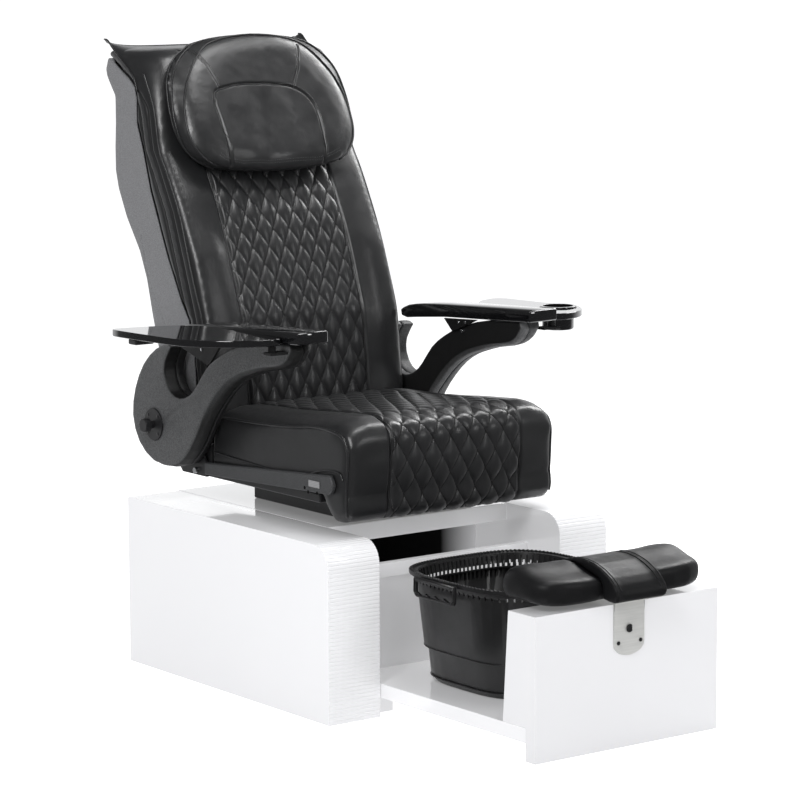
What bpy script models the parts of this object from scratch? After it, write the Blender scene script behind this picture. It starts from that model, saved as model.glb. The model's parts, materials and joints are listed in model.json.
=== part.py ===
"""Pedicure spa chair.

A leather recliner on a white cabinet base. The seat runs fore and aft on a slide box, the back
reclines, the arms lift, the arm trays swing out, and a wheeled drawer under the seat carries a
lift-out foot bucket and a flip-up footrest.

Metres, +Z up, +X to the right of someone who faces the chair, the chair faces -Y. The row origin is
on the floor under the middle of the cabinet's back panel. Shapes are drawn from the cabinet's front
plane (y = 0 there) and carried back by the root empty.
"""
import math

import bmesh
import bpy
from mathutils import Matrix, Vector

# Running fit between neighbouring pieces, and the broken edge of cut board and sheet
GAP = 0.0003
EDGE_BREAK = 0.0015

# Cabinet base
BASE_HALF_WIDTH = 0.380
BASE_LENGTH = 0.784
BASE_HEIGHT = 0.381
BLOCK_WIDTH = 0.134
BLOCK_NOSE_RADIUS = 0.050
BLOCK_TAIL_RADIUS = 0.008
REED_PITCH = 0.0085
REED_DEPTH = 0.0012
PANEL = 0.018
DECK_FRONT = 0.187
DECK_THICKNESS = 0.039
BAY_HALF_WIDTH = BASE_HALF_WIDTH - BLOCK_WIDTH
BULKHEAD_Y = 0.672
BULKHEAD_THICKNESS = 0.012
FLOOR_RAIL_WIDTH = 0.056
FLOOR_RAIL_HEIGHT = 0.0385
FLOOR_RAIL_FRONT = 0.030

# Drawer
DRAWER_HALF_WIDTH = 0.2435
DRAWER_FRONT = -0.517
FASCIA_THICKNESS = 0.028
FASCIA_LIFT = 0.003
TRAY_BOTTOM = 0.0405
TRAY_TOP = 0.0715
DRAWER_TOP = 0.303
BLOCK_REAR_TOP = -0.430
BLOCK_REAR_FOOT = -0.413
DRAWER_BACK = 0.110
DRAWER_BACK_THICKNESS = 0.020
DRAWER_BACK_LIP = 0.031
DRAWER_BACK_SKIN = 0.006
TRAY_EDGE = 0.0010
BLOCK_EDGE = 0.0008
FASCIA_EDGE = 0.0020
CASTER_RADIUS = 0.0165
CASTER_X = 0.165
CASTER_Y = -0.455
WHEEL_HALF_WIDTH = 0.0095
WHEEL_EDGE = 0.002
FORK_HALF_WIDTH = 0.017
FORK_HALF_LENGTH = 0.013
FORK_FOOT = 0.010
FORK_SLOT_HALF_WIDTH = 0.011
FORK_SLOT_HALF_LENGTH = 0.020
FORK_SLOT_TOP = 0.036

# Footrest
HINGE_Y = -0.5235
HINGE_Z = 0.3085
HINGE_RADIUS = 0.0040
BRACKET_HALF_WIDTH = 0.0405
BRACKET_FOOT = 0.194
BRACKET_THICKNESS = 0.003
BRACKET_CORNER = 0.010
BRACKET_SCREW = (0.0295, 0.222)
BRACKET_SCREW_RADIUS = 0.0042
BRACKET_SCREW_HEAD = 0.0016
LATCH_CENTRE = (-0.001, 0.250)
LATCH_RADIUS = 0.0075
LATCH_HEIGHT = 0.0020
LATCH_EDGE = 0.0005
PAD_FOOT = 0.3128
PAD_CROWN_Y = -0.420
SADDLE_HALF_WIDTH = 0.066
SADDLE_BEAD_SHARE = 0.7
LEAF_HALF_WIDTH = 0.0365
LEAF_THICKNESS = 0.0025
LEAF_REAR = -0.385

# Bucket
BUCKET_Y = -0.152
BUCKET_WALL = 0.0032
BUCKET_RIM_Z = 0.311
BUCKET_SQUARENESS = 3.5
HANDLE_X = 0.1985
HANDLE_THICKNESS = 0.006
HANDLE_FRONT = -0.200
HANDLE_REAR = -0.060
HANDLE_TOP = 0.3075
HANDLE_PIVOT_Y = -0.120
HANDLE_PIVOT_Z = 0.3045
HANDLE_FOOT = 0.2660
HANDLE_CORNER = 0.010
HANDLE_BAR = 0.008
HANDLE_HEAD = 0.009
GRIP_WAVES = 4
GRIP_WAVE_HEIGHT = 0.0028

# Seat
SEAT_HALF_WIDTH = 0.2795
SEAT_REAR = 0.596
SLIDE_BOX_HALF_WIDTH = 0.165
SLIDE_BOX_FRONT = 0.210
SLIDE_BOX_REAR = 0.590
SLIDE_BOX_TOP = 0.4250
SLIDE_BOX_EDGE = 0.003
SLIDE_RAIL_INNER = 0.110
SLIDE_RAIL_OUTER = 0.140
SLIDE_RAIL_FRONT = 0.190
SLIDE_RAIL_REAR = 0.600
SLIDE_RAIL_TOP = 0.4395
SEAT_PAN_HALF_WIDTH = 0.2770
SEAT_PAN_FRONT = 0.172
SEAT_PAN_REAR = 0.660
SEAT_PAN_TOP = 0.4600
SEAT_PAN_EDGE = 0.002
SIDE_RAIL_OUTER = 0.2915
SIDE_RAIL_NOSE = (0.118, 0.48725)
SIDE_RAIL_NOSE_RADIUS = 0.0125
SIDE_RAIL_EDGE = 0.0025
LABEL_FRONT = 0.152
LABEL_REAR = 0.192
LABEL_FOOT = 0.476
LABEL_HEAD = 0.490
LABEL_THICKNESS = 0.0012
EAR_RADIUS = 0.055
EAR_INNER = 0.2775
EAR_OUTER = 0.2845
RECLINE_BOLT = (0.640, 0.4505)
RECLINE_BOLT_RADIUS = 0.007
RECLINE_BOLT_LENGTH = 0.0072

# Recline and arm pivot, on one line through both arm hubs
PIVOT_Y = 0.728
PIVOT_Z = 0.550

# Back
BACK_HALF_WIDTH = 0.2715
SHELL_FOOT = 0.500
SHELL_TOP = 1.362
CUSHION_FOOT = 0.520
CUSHION_TOP = 1.380
CUSHION_HEEL = 1.020
BACK_LEVELS = (0.600, 0.700, 0.783, 0.825, 0.864, 0.926, 1.000, 1.064, 1.105, 1.159, 1.216, 1.276,
               1.302, 1.320, 1.336, 1.353)
SHELL_WALL = 0.006
SHELL_OPEN_FRONT = 0.030
SHOULDER_Z = 1.372
FLAP_RISE = 0.026
BACK_TUBE_RADIUS = 0.0095
BACK_TUBE_HALF_WIDTH = 0.170
PILLOW_CENTRE = (0.0, 0.765, 1.259)
PILLOW_REAR = (Vector((0.0, 0.757, 1.115)), Vector((0.0, 0.846, 1.400)))
PILLOW_FRONT = (Vector((0.0, 0.690, 1.105)), Vector((0.0, 0.820, 1.400)))

# Arms
ARM_INNER = 0.285
ARM_SEAM = 0.3075
ARM_OUTER = 0.341
CAP_INNER = 0.274
CAP_OUTER = 0.353
ARM_BAND_OUTER = 0.012
ARM_BAND_INNER = 0.009
ARM_BAND_SWELL = 0.75
ARM_EDGE = 0.0020
ARM_EDGE_ANGLE = 65.0
CAP_EDGE = 0.0035
HUB_PLATE_RADIUS = 0.0375
HUB_PLATE_THICKNESS = 0.0030
HUB_PLATE_EDGE = 0.0008
PIN_RADIUS = 0.0155
PIN_NECK_RADIUS = 0.0085
PIN_HEAD_INNER = 0.356
PIN_HEAD_OUTER = 0.3715
TRAY_TOP_Z = 0.800
TRAY_THICKNESS = 0.015
TRAY_PIVOT_X = 0.374
TRAY_FOOT_REACH = 0.386
TRAY_FOOT_HALF_LENGTH = 0.014
TRAY_FOOT_LOW = 0.7640
TRAY_FOOT_HIGH = 0.7700
TRAY_POST_RADIUS = 0.009
TRAY_INNER_X = 0.3545
TRAY_NOSE_RADIUS = TRAY_PIVOT_X - TRAY_INNER_X
LEFT_TRAY_PIVOT_Y = 0.207
RIGHT_TRAY_PIVOT_Y = 0.187
CUP_CENTRE = (0.455, 0.262)
CUP_RADIUS = 0.0365
CUP_FLANGE = 0.043
CUP_DEPTH = 0.050
CUP_BORE_CLEARANCE = 0.0005
CUP_WALL = 0.002


# ---------------------------------------------------------------- materials

def material(name, colour, roughness, metallic=0.0):
    made = bpy.data.materials.get(name)
    if made:
        return made
    made = bpy.data.materials.new(name)
    made.use_nodes = True
    shader = made.node_tree.nodes["Principled BSDF"]
    shader.inputs["Base Color"].default_value = (*colour, 1.0)
    shader.inputs["Roughness"].default_value = roughness
    shader.inputs["Metallic"].default_value = metallic
    return made


LOOKS = {
    "white_gloss": ((0.90, 0.90, 0.91), 0.10, 0.0),
    "white_edge": ((0.84, 0.84, 0.86), 0.25, 0.0),
    "black_board": ((0.015, 0.015, 0.016), 0.55, 0.0),
    "black_steel": ((0.025, 0.025, 0.027), 0.45, 0.0),
    "zinc_steel": ((0.55, 0.56, 0.58), 0.35, 1.0),
    "brushed_steel": ((0.45, 0.45, 0.46), 0.32, 1.0),
    "chrome": ((0.75, 0.76, 0.78), 0.08, 1.0),
    "caster_grey": ((0.30, 0.30, 0.31), 0.60, 0.0),
    "foam_skin": ((0.020, 0.020, 0.021), 0.55, 0.0),
    "bucket_black": ((0.018, 0.018, 0.019), 0.38, 0.0),
    "leather": ((0.018, 0.018, 0.020), 0.38, 0.0),
    "charcoal_plastic": ((0.060, 0.061, 0.064), 0.60, 0.0),
    "gloss_black": ((0.008, 0.008, 0.009), 0.04, 0.0),
    "label_grey": ((0.32, 0.32, 0.33), 0.45, 0.0),
}


# ---------------------------------------------------------------- bodies

ROW_ORIGIN = Vector((0.0, BASE_LENGTH - PANEL / 2, 0.0))


class Body:
    """A rigid group: an empty on its joint's axis that carries the group's pieces."""

    def __init__(self, name, position, parent=None):
        self.position = Vector(position)
        self.empty = bpy.data.objects.new(name + "_axis", None)
        bpy.context.scene.collection.objects.link(self.empty)
        self.empty.parent = parent.empty if parent else None
        self.empty.location = self.position - (parent.position if parent else ROW_ORIGIN)


def add_piece(name, bm, look, body, smooth_angle=35.0):
    """Put a finished shape, drawn in the chair's frame, on its body."""
    bmesh.ops.translate(bm, verts=bm.verts, vec=-body.position)
    bmesh.ops.recalc_face_normals(bm, faces=bm.faces)
    mesh = bpy.data.meshes.new(name)
    bm.to_mesh(mesh)
    bm.free()
    mesh.shade_smooth()
    mesh.set_sharp_from_angle(angle=math.radians(smooth_angle))
    mesh.materials.append(material(look, *LOOKS[look]))
    piece = bpy.data.objects.new(name, mesh)
    bpy.context.scene.collection.objects.link(piece)
    piece.parent = body.empty
    return piece


def combine(piece, bm, body, operation):
    """Cut a shape out of a piece, or join it on, with a Boolean."""
    helper = add_piece(piece.name + "_" + operation.lower(), bm, "black_steel", body)
    helper.hide_render = True
    helper.display_type = "WIRE"
    boolean = piece.modifiers.new(operation.title(), "BOOLEAN")
    boolean.object = helper
    boolean.operation = operation
    boolean.solver = "EXACT"


def bevel(piece, width, segments=1, angle=50.0):
    edge = piece.modifiers.new("Edges", "BEVEL")
    edge.width = width
    edge.segments = segments
    edge.limit_method = "ANGLE"
    edge.angle_limit = math.radians(angle)


# ---------------------------------------------------------------- shapes

def box(low, high, turn=None):
    bm = bmesh.new()
    size = Vector(high) - Vector(low)
    centre = (Vector(high) + Vector(low)) / 2
    place = Matrix.Translation(centre) @ (turn or Matrix.Identity(4)) @ Matrix.Diagonal((*size, 1.0))
    bmesh.ops.create_cube(bm, size=1.0, matrix=place)
    return bm


def loft(rings):
    """Skin closed rings of equal length and cap both ends."""
    bm = bmesh.new()
    loops = [[bm.verts.new(point) for point in ring] for ring in rings]
    count = len(loops[0])
    for near, far in zip(loops, loops[1:]):
        for i in range(count):
            j = (i + 1) % count
            bm.faces.new((near[i], near[j], far[j], far[i]))
    bm.faces.new(loops[0])
    bm.faces.new(loops[-1])
    return bm


def prism_x(outline, low, high):
    """A side profile of (y, z) points, extruded along X."""
    return loft([[(x, y, z) for y, z in outline] for x in (low, high)])


def prism_y(outline, low, high):
    return loft([[(x, y, z) for x, z in outline] for y in (low, high)])


def prism_z(outline, low, high):
    return loft([[(x, y, z) for x, y in outline] for z in (low, high)])


def disc_x(centre, radius, low, high, sides=24):
    """A cylinder along X about (y, z)."""
    return prism_x(arc(centre, radius, 0.0, 360.0, sides)[:-1], low, high)


def arc(centre, radius, start, end, steps):
    """Points on an arc, in degrees, both ends included."""
    turns = [math.radians(start + (end - start) * i / steps) for i in range(steps + 1)]
    return [(centre[0] + radius * math.cos(t), centre[1] + radius * math.sin(t)) for t in turns]


def smooth_path(points, steps=2, closed=True):
    """A Catmull-Rom curve through the design points."""
    count = len(points)
    spans = count if closed else count - 1
    result = []
    for i in range(spans):
        p = [points[(i + k) % count] if closed else points[min(max(i + k, 0), count - 1)]
             for k in (-1, 0, 1, 2)]
        for step in range(steps):
            t = step / steps
            result.append(tuple(
                0.5 * (2 * b + (c - a) * t + (2 * a - 5 * b + 4 * c - d) * t * t
                       + (3 * b - a - 3 * c + d) * t ** 3)
                for a, b, c, d in zip(*p)))
    if not closed:
        result.append(tuple(points[-1]))
    return result


def super_ring(half_x, half_y, centre_y, z, sides=36, squareness=BUCKET_SQUARENESS):
    """A squared-off oval ring at one height."""
    ring = []
    for i in range(sides):
        turn = 2 * math.pi * i / sides
        c, s = math.cos(turn), math.sin(turn)
        x = half_x * math.copysign(abs(c) ** (2 / squareness), c)
        y = half_y * math.copysign(abs(s) ** (2 / squareness), s)
        ring.append((x, centre_y + y, z))
    return ring


def turned_ring(centre, profile, sides=32):
    """Turn a (radius, z) profile about a vertical axis; it starts and ends on a flat floor."""
    rings = []
    for radius, z in profile:
        rings.append([(x, y, z) for x, y in arc(centre, radius, 0.0, 360.0, sides)[:-1]])
    return loft(rings)


def table(pairs, value):
    """Straight-line reading of a table of (key, value) pairs."""
    for (k0, v0), (k1, v1) in zip(pairs, pairs[1:]):
        if value <= k1:
            return v0 + (v1 - v0) * (value - k0) / (k1 - k0)
    return pairs[-1][1]


def both_sides():
    return (("left", -1.0), ("right", 1.0))


def span(side, near, far):
    """Low and high X for a stretch that lies on one side of the chair."""
    return sorted((side * near, side * far))


# ---------------------------------------------------------------- cabinet base

def reeded_nose():
    """The front face and rounded top of a side block, from floor to top, with fine reeds."""
    straight = BASE_HEIGHT - BLOCK_NOSE_RADIUS
    length = straight + BLOCK_NOSE_RADIUS * math.pi / 2
    reeds = int(length / REED_PITCH)
    stations = []
    for i in range(reeds):
        stations += [(i, 0.0), (i + 0.70, 0.0), (i + 0.85, REED_DEPTH)]
    points = []
    for place, depth in stations:
        along = place * length / reeds
        if along <= straight:
            points.append((depth, along))
            continue
        turn = (along - straight) / BLOCK_NOSE_RADIUS
        reach = BLOCK_NOSE_RADIUS - depth
        points.append((BLOCK_NOSE_RADIUS - reach * math.cos(turn), straight + reach * math.sin(turn)))
    return points


def build_base(base):
    tail = arc((BASE_LENGTH - BLOCK_TAIL_RADIUS, BASE_HEIGHT - BLOCK_TAIL_RADIUS),
               BLOCK_TAIL_RADIUS, 90.0, 0.0, 3)
    outline = reeded_nose() + [(BLOCK_NOSE_RADIUS, BASE_HEIGHT)] + tail + [(BASE_LENGTH, 0.0)]
    for name, side in both_sides():
        low, high = span(side, BAY_HALF_WIDTH, BASE_HALF_WIDTH)
        add_piece("base_" + name + "_block", prism_x(outline, low, high), "white_gloss", base)
        low, high = span(side, BAY_HALF_WIDTH - FLOOR_RAIL_WIDTH, BAY_HALF_WIDTH - GAP)
        rail = add_piece("base_" + name + "_floor_rail",
                         box((low, FLOOR_RAIL_FRONT, 0.0), (high, BULKHEAD_Y - GAP, FLOOR_RAIL_HEIGHT)),
                         "white_edge", base)
        bevel(rail, EDGE_BREAK)
    inside = BAY_HALF_WIDTH - GAP
    under_deck = BASE_HEIGHT - DECK_THICKNESS
    deck = add_piece("base_deck",
                     box((-inside, DECK_FRONT, under_deck), (inside, BASE_LENGTH, BASE_HEIGHT)),
                     "white_gloss", base)
    bevel(deck, EDGE_BREAK)
    add_piece("base_back_panel",
              box((-inside, BASE_LENGTH - PANEL, 0.0), (inside, BASE_LENGTH, under_deck - GAP)),
              "white_gloss", base)
    add_piece("base_bulkhead",
              box((-inside, BULKHEAD_Y, 0.0), (inside, BULKHEAD_Y + BULKHEAD_THICKNESS, under_deck - GAP)),
              "black_board", base)
    housing = add_piece("seat_slide_box",
                        box((-SLIDE_BOX_HALF_WIDTH, SLIDE_BOX_FRONT, BASE_HEIGHT + GAP),
                            (SLIDE_BOX_HALF_WIDTH, SLIDE_BOX_REAR, SLIDE_BOX_TOP)),
                        "black_steel", base)
    bevel(housing, SLIDE_BOX_EDGE)


# ---------------------------------------------------------------- drawer

def build_drawer(drawer, wheels):
    half = DRAWER_HALF_WIDTH
    rear_of_fascia = DRAWER_FRONT + FASCIA_THICKNESS + GAP
    back_rear = DRAWER_BACK + DRAWER_BACK_THICKNESS
    tray = add_piece("drawer_tray",
                     box((-half, rear_of_fascia, TRAY_BOTTOM), (half, back_rear, TRAY_TOP)),
                     "white_gloss", drawer)
    bevel(tray, TRAY_EDGE)
    above_tray = TRAY_TOP + GAP
    side = [(rear_of_fascia, above_tray), (rear_of_fascia, DRAWER_TOP), (BLOCK_REAR_TOP, DRAWER_TOP),
            (BLOCK_REAR_FOOT, above_tray)]
    block = add_piece("drawer_front_block", prism_x(side, -half, half), "white_gloss", drawer)
    bevel(block, BLOCK_EDGE)
    fascia = add_piece("drawer_fascia",
                       box((-half, DRAWER_FRONT, FASCIA_LIFT), (half, rear_of_fascia - GAP, DRAWER_TOP)),
                       "white_gloss", drawer)
    bevel(fascia, FASCIA_EDGE)
    lip_foot = DRAWER_TOP - DRAWER_BACK_LIP
    recess = DRAWER_BACK + DRAWER_BACK_SKIN
    side = [(DRAWER_BACK, lip_foot), (DRAWER_BACK, DRAWER_TOP), (back_rear, DRAWER_TOP),
            (back_rear, above_tray), (recess, above_tray), (recess, lip_foot)]
    add_piece("drawer_back_panel", prism_x(side, -half, half), "white_gloss", drawer)
    for name, side in both_sides():
        build_caster(name, side, drawer, wheels[name])
    build_footrest_bracket(drawer)


def build_caster(name, side, drawer, wheel):
    centre = side * CASTER_X
    fork = add_piece("drawer_" + name + "_caster_fork",
                     box((centre - FORK_HALF_WIDTH, CASTER_Y - FORK_HALF_LENGTH, FORK_FOOT),
                         (centre + FORK_HALF_WIDTH, CASTER_Y + FORK_HALF_LENGTH, TRAY_BOTTOM - GAP)),
                     "zinc_steel", drawer)
    slot = box((centre - FORK_SLOT_HALF_WIDTH, CASTER_Y - FORK_SLOT_HALF_LENGTH, 0.0),
               (centre + FORK_SLOT_HALF_WIDTH, CASTER_Y + FORK_SLOT_HALF_LENGTH, FORK_SLOT_TOP))
    combine(fork, slot, drawer, "DIFFERENCE")
    tyre = add_piece("drawer_" + name + "_caster_wheel",
                     disc_x((CASTER_Y, CASTER_RADIUS), CASTER_RADIUS, centre - WHEEL_HALF_WIDTH,
                            centre + WHEEL_HALF_WIDTH),
                     "caster_grey", wheel)
    bevel(tyre, WHEEL_EDGE)


def build_footrest_bracket(drawer):
    rear = DRAWER_FRONT - GAP
    front = rear - BRACKET_THICKNESS
    head = HINGE_Z - HINGE_RADIUS / 2
    rounded = [(0.975 * BRACKET_HALF_WIDTH, BRACKET_FOOT + 1.8 * BRACKET_CORNER),
               (0.65 * BRACKET_HALF_WIDTH, BRACKET_FOOT + 0.6 * BRACKET_CORNER), (0.0, BRACKET_FOOT)]
    rounded += [(-x, z) for x, z in reversed(rounded[:-1])]
    straight = BRACKET_FOOT + 2.8 * BRACKET_CORNER
    outline = [(BRACKET_HALF_WIDTH, head), (BRACKET_HALF_WIDTH, straight)]
    outline += smooth_path(rounded, 3, closed=False)
    outline += [(-BRACKET_HALF_WIDTH, straight), (-BRACKET_HALF_WIDTH, head)]
    plate = add_piece("footrest_bracket", prism_y(outline, front, rear), "brushed_steel", drawer)
    barrel = disc_x((HINGE_Y, HINGE_Z), HINGE_RADIUS, -BRACKET_HALF_WIDTH, BRACKET_HALF_WIDTH, 12)
    combine(plate, barrel, drawer, "UNION")
    for name, side in both_sides():
        x, z = BRACKET_SCREW
        outline = arc((side * x, z), BRACKET_SCREW_RADIUS, 0.0, 360.0, 12)[:-1]
        head = prism_y(outline, front - GAP - BRACKET_SCREW_HEAD, front - GAP)
        add_piece("bracket_" + name + "_screw", head, "black_steel", drawer)
    outline = arc(LATCH_CENTRE, LATCH_RADIUS, 0.0, 360.0, 20)[:-1]
    latch = add_piece("bracket_latch_button", prism_y(outline, front - GAP - LATCH_HEIGHT, front - GAP),
                      "black_steel", drawer)
    bevel(latch, LATCH_EDGE)


# ---------------------------------------------------------------- footrest

# Half of the pad from its end to the saddle: x, front, rear, crown, nose, foot
PAD_WING = [(0.219, -0.468, -0.388, 0.366, 0.352, 0.334), (0.214, -0.487, -0.374, 0.379, 0.360, 0.323),
            (0.200, -0.506, -0.366, 0.3855, 0.363, 0.316), (0.165, -0.518, -0.363, 0.3865, 0.364, PAD_FOOT),
            (0.120, -0.521, -0.363, 0.383, 0.362, PAD_FOOT), (0.073, -0.518, -0.363, 0.384, 0.360, PAD_FOOT),
            (0.069, -0.512, -0.371, 0.376, 0.351, PAD_FOOT)]
# The saddle's (y, z) underside, its raised beads and its middle
SADDLE_UNDERSIDE = [(-0.5138, 0.3165), (-0.5140, 0.340), (-0.504, 0.3560), (-0.466, 0.3690), (-0.425, 0.3790),
                    (-0.386, 0.3715), (-0.3698, 0.358), (-0.3694, 0.330)]
SADDLE_BEAD = [(-0.366, 0.328), (-0.3665, 0.360), (-0.385, 0.3790), (-0.418, 0.3872), (-0.450, 0.3890),
               (-0.480, 0.3855), (-0.5065, 0.3775), (-0.5295, 0.3660), (-0.548, 0.3510), (-0.558, 0.3380),
               (-0.5615, 0.3270), (-0.5590, 0.3180)]
SADDLE_MIDDLE = [(-0.366, 0.328), (-0.3665, 0.360), (-0.385, 0.3775), (-0.418, 0.3855), (-0.450, 0.3860),
                 (-0.480, 0.3810), (-0.5065, 0.3715), (-0.5295, 0.3590), (-0.545, 0.3470), (-0.554, 0.3360),
                 (-0.5580, 0.3260), (-0.5560, 0.3180)]
SADDLE_TIP = (-0.550, PAD_FOOT + GAP)


def pad_section(x, front, rear, crown, nose, foot):
    """One side-to-side station of the footrest pad: flat foot, upright nose, crowned top."""
    ridge_y = front + 0.010
    dip = nose + 0.35 * (crown - nose)
    height = crown - foot
    points = [(front + 0.012, foot), (front + 0.002, foot + 0.11 * height),
              (front, nose - 0.2 * (nose - foot)), (ridge_y, nose), (0.55 * ridge_y + 0.45 * PAD_CROWN_Y, dip), (PAD_CROWN_Y, crown),
              (rear - 0.014, crown - 0.14 * height), (rear - 0.002, crown - 0.40 * height),
              (rear, foot + 0.22 * height), (rear - 0.012, foot)]
    return [(x, y, z) for y, z in smooth_path(points, 2, closed=False)]


def build_footrest(footrest):
    rings = [pad_section(-x, *shape) for x, *shape in PAD_WING]
    rings += [pad_section(x, *shape) for x, *shape in reversed(PAD_WING)]
    add_piece("footrest_pad", loft(rings), "foam_skin", footrest, 60.0)

    inner = smooth_path(SADDLE_UNDERSIDE, 2, closed=False)
    bead = SADDLE_BEAD_SHARE * SADDLE_HALF_WIDTH
    rings = []
    for x, top in ((-SADDLE_HALF_WIDTH, SADDLE_BEAD), (-bead, SADDLE_MIDDLE), (bead, SADDLE_MIDDLE),
                   (SADDLE_HALF_WIDTH, SADDLE_BEAD)):
        rings.append([(x, y, z) for y, z in inner + top + [SADDLE_TIP]])
    add_piece("footrest_saddle", loft(rings), "foam_skin", footrest, 60.0)

    leaf_top = PAD_FOOT - GAP
    leaf = box((-LEAF_HALF_WIDTH, HINGE_Y + HINGE_RADIUS + GAP, leaf_top - LEAF_THICKNESS),
               (LEAF_HALF_WIDTH, LEAF_REAR, leaf_top))
    add_piece("footrest_hinge_leaf", leaf, "brushed_steel", footrest)


# ---------------------------------------------------------------- bucket

BUCKET_OUTSIDE = [(0.142, 0.151, 0.0718), (0.152, 0.161, 0.0830), (0.157, 0.166, 0.1390),
                  (0.165, 0.174, 0.1490), (0.179, 0.188, 0.2900), (0.184, 0.193, 0.2960),
                  (0.193, 0.202, 0.3030), (0.193, 0.202, BUCKET_RIM_Z)]
BUCKET_MOUTH = (0.189, 0.198, BUCKET_RIM_Z)
# Section of the liner ring, as half lengths across and along at each height
LINER_BAND = [(0.1732, 0.1822, 0.2780), (0.1748, 0.1838, 0.2935), (0.1796, 0.1886, 0.3005),
              (0.1838, 0.1928, 0.3065), (0.1838, 0.1928, 0.3085), (0.1765, 0.1855, 0.3085),
              (0.1705, 0.1795, 0.2810), (0.1640, 0.1730, 0.2810), (0.1640, 0.1730, 0.2780)]


def build_bucket(bucket, handles):
    wall = BUCKET_WALL
    rings = [super_ring(a, b, BUCKET_Y, z) for a, b, z in BUCKET_OUTSIDE]
    inside = [BUCKET_MOUTH]
    inside += [(a - wall, b - wall, z + wall) for a, b, z in reversed(BUCKET_OUTSIDE[:6])]
    rings += [super_ring(a, b, BUCKET_Y, z) for a, b, z in inside]
    add_piece("bucket_tub", loft(rings), "bucket_black", bucket, 40.0)

    rings = [super_ring(a, b, BUCKET_Y, z) for a, b, z in LINER_BAND]
    add_piece("bucket_liner_ring", ring_solid(rings), "bucket_black", bucket, 40.0)

    for name, side in both_sides():
        build_handle(name, side, handles[name])


def ring_solid(rings):
    """Skin rings into a hoop: the last ring joins the first."""
    bm = bmesh.new()
    loops = [[bm.verts.new(point) for point in ring] for ring in rings]
    count = len(loops[0])
    for near, far in zip(loops, loops[1:] + loops[:1]):
        for i in range(count):
            j = (i + 1) % count
            bm.faces.new((near[i], near[j], far[j], far[i]))
    return bm


def build_handle(name, side, body):
    """A flat drop handle with a finger opening whose lower edge is wavy."""
    front, rear, corner = HANDLE_FRONT, HANDLE_REAR, HANDLE_CORNER
    outline = [(front, HANDLE_TOP), (rear, HANDLE_TOP)]
    outline += arc((rear - corner, HANDLE_FOOT + corner), corner, 0.0, -90.0, 3)
    outline += arc((front + corner, HANDLE_FOOT + corner), corner, -90.0, -180.0, 3)
    low, high = span(side, HANDLE_X - HANDLE_THICKNESS / 2, HANDLE_X + HANDLE_THICKNESS / 2)
    grip = add_piece("bucket_" + name + "_handle", prism_x(outline, low, high), "bucket_black", body)
    hole_front, hole_rear = front + HANDLE_BAR, rear - HANDLE_BAR
    hole = [(hole_rear, HANDLE_TOP - HANDLE_HEAD), (hole_front, HANDLE_TOP - HANDLE_HEAD)]
    quarters = GRIP_WAVES * 4
    for i in range(quarters + 1):
        wave = GRIP_WAVE_HEIGHT * math.cos(math.pi * i / 2)
        hole.append((hole_front + (hole_rear - hole_front) * i / quarters, HANDLE_FOOT + HANDLE_BAR + wave))
    combine(grip, prism_x(hole, low - HANDLE_THICKNESS, high + HANDLE_THICKNESS), body, "DIFFERENCE")


# ---------------------------------------------------------------- seat

SEAT_PROFILE = [(0.124, 0.4060), (0.082, 0.4060), (0.064, 0.4300), (0.070, 0.4700), (0.062, 0.5300),
                (0.057, 0.5850), (0.074, 0.6120), (0.118, 0.6220), (0.240, 0.6140), (0.400, 0.6010),
                (0.560, 0.5960), (0.590, 0.5800), (SEAT_REAR, 0.5000), (0.590, SEAT_PAN_TOP + GAP),
                (0.168, SEAT_PAN_TOP + GAP), (0.150, 0.4300)]

# Half width, drop of the top, and draw-in of the front and rear, towards the side
SEAT_SHOULDER = [(SEAT_HALF_WIDTH, 0.024, 0.010), (0.2720, 0.014, 0.003), (0.2560, 0.006, 0.0),
                 (0.2200, 0.0, 0.0)]
SIDE_RAIL = [(0.118, 0.466), (0.600, 0.446), (0.600, 0.474), (0.118, 0.5085)]
EAR_FOOT = [(0.602, 0.440), (0.700, 0.440)]
EAR_NECK = [(0.640, 0.520), (0.602, 0.470)]


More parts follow.
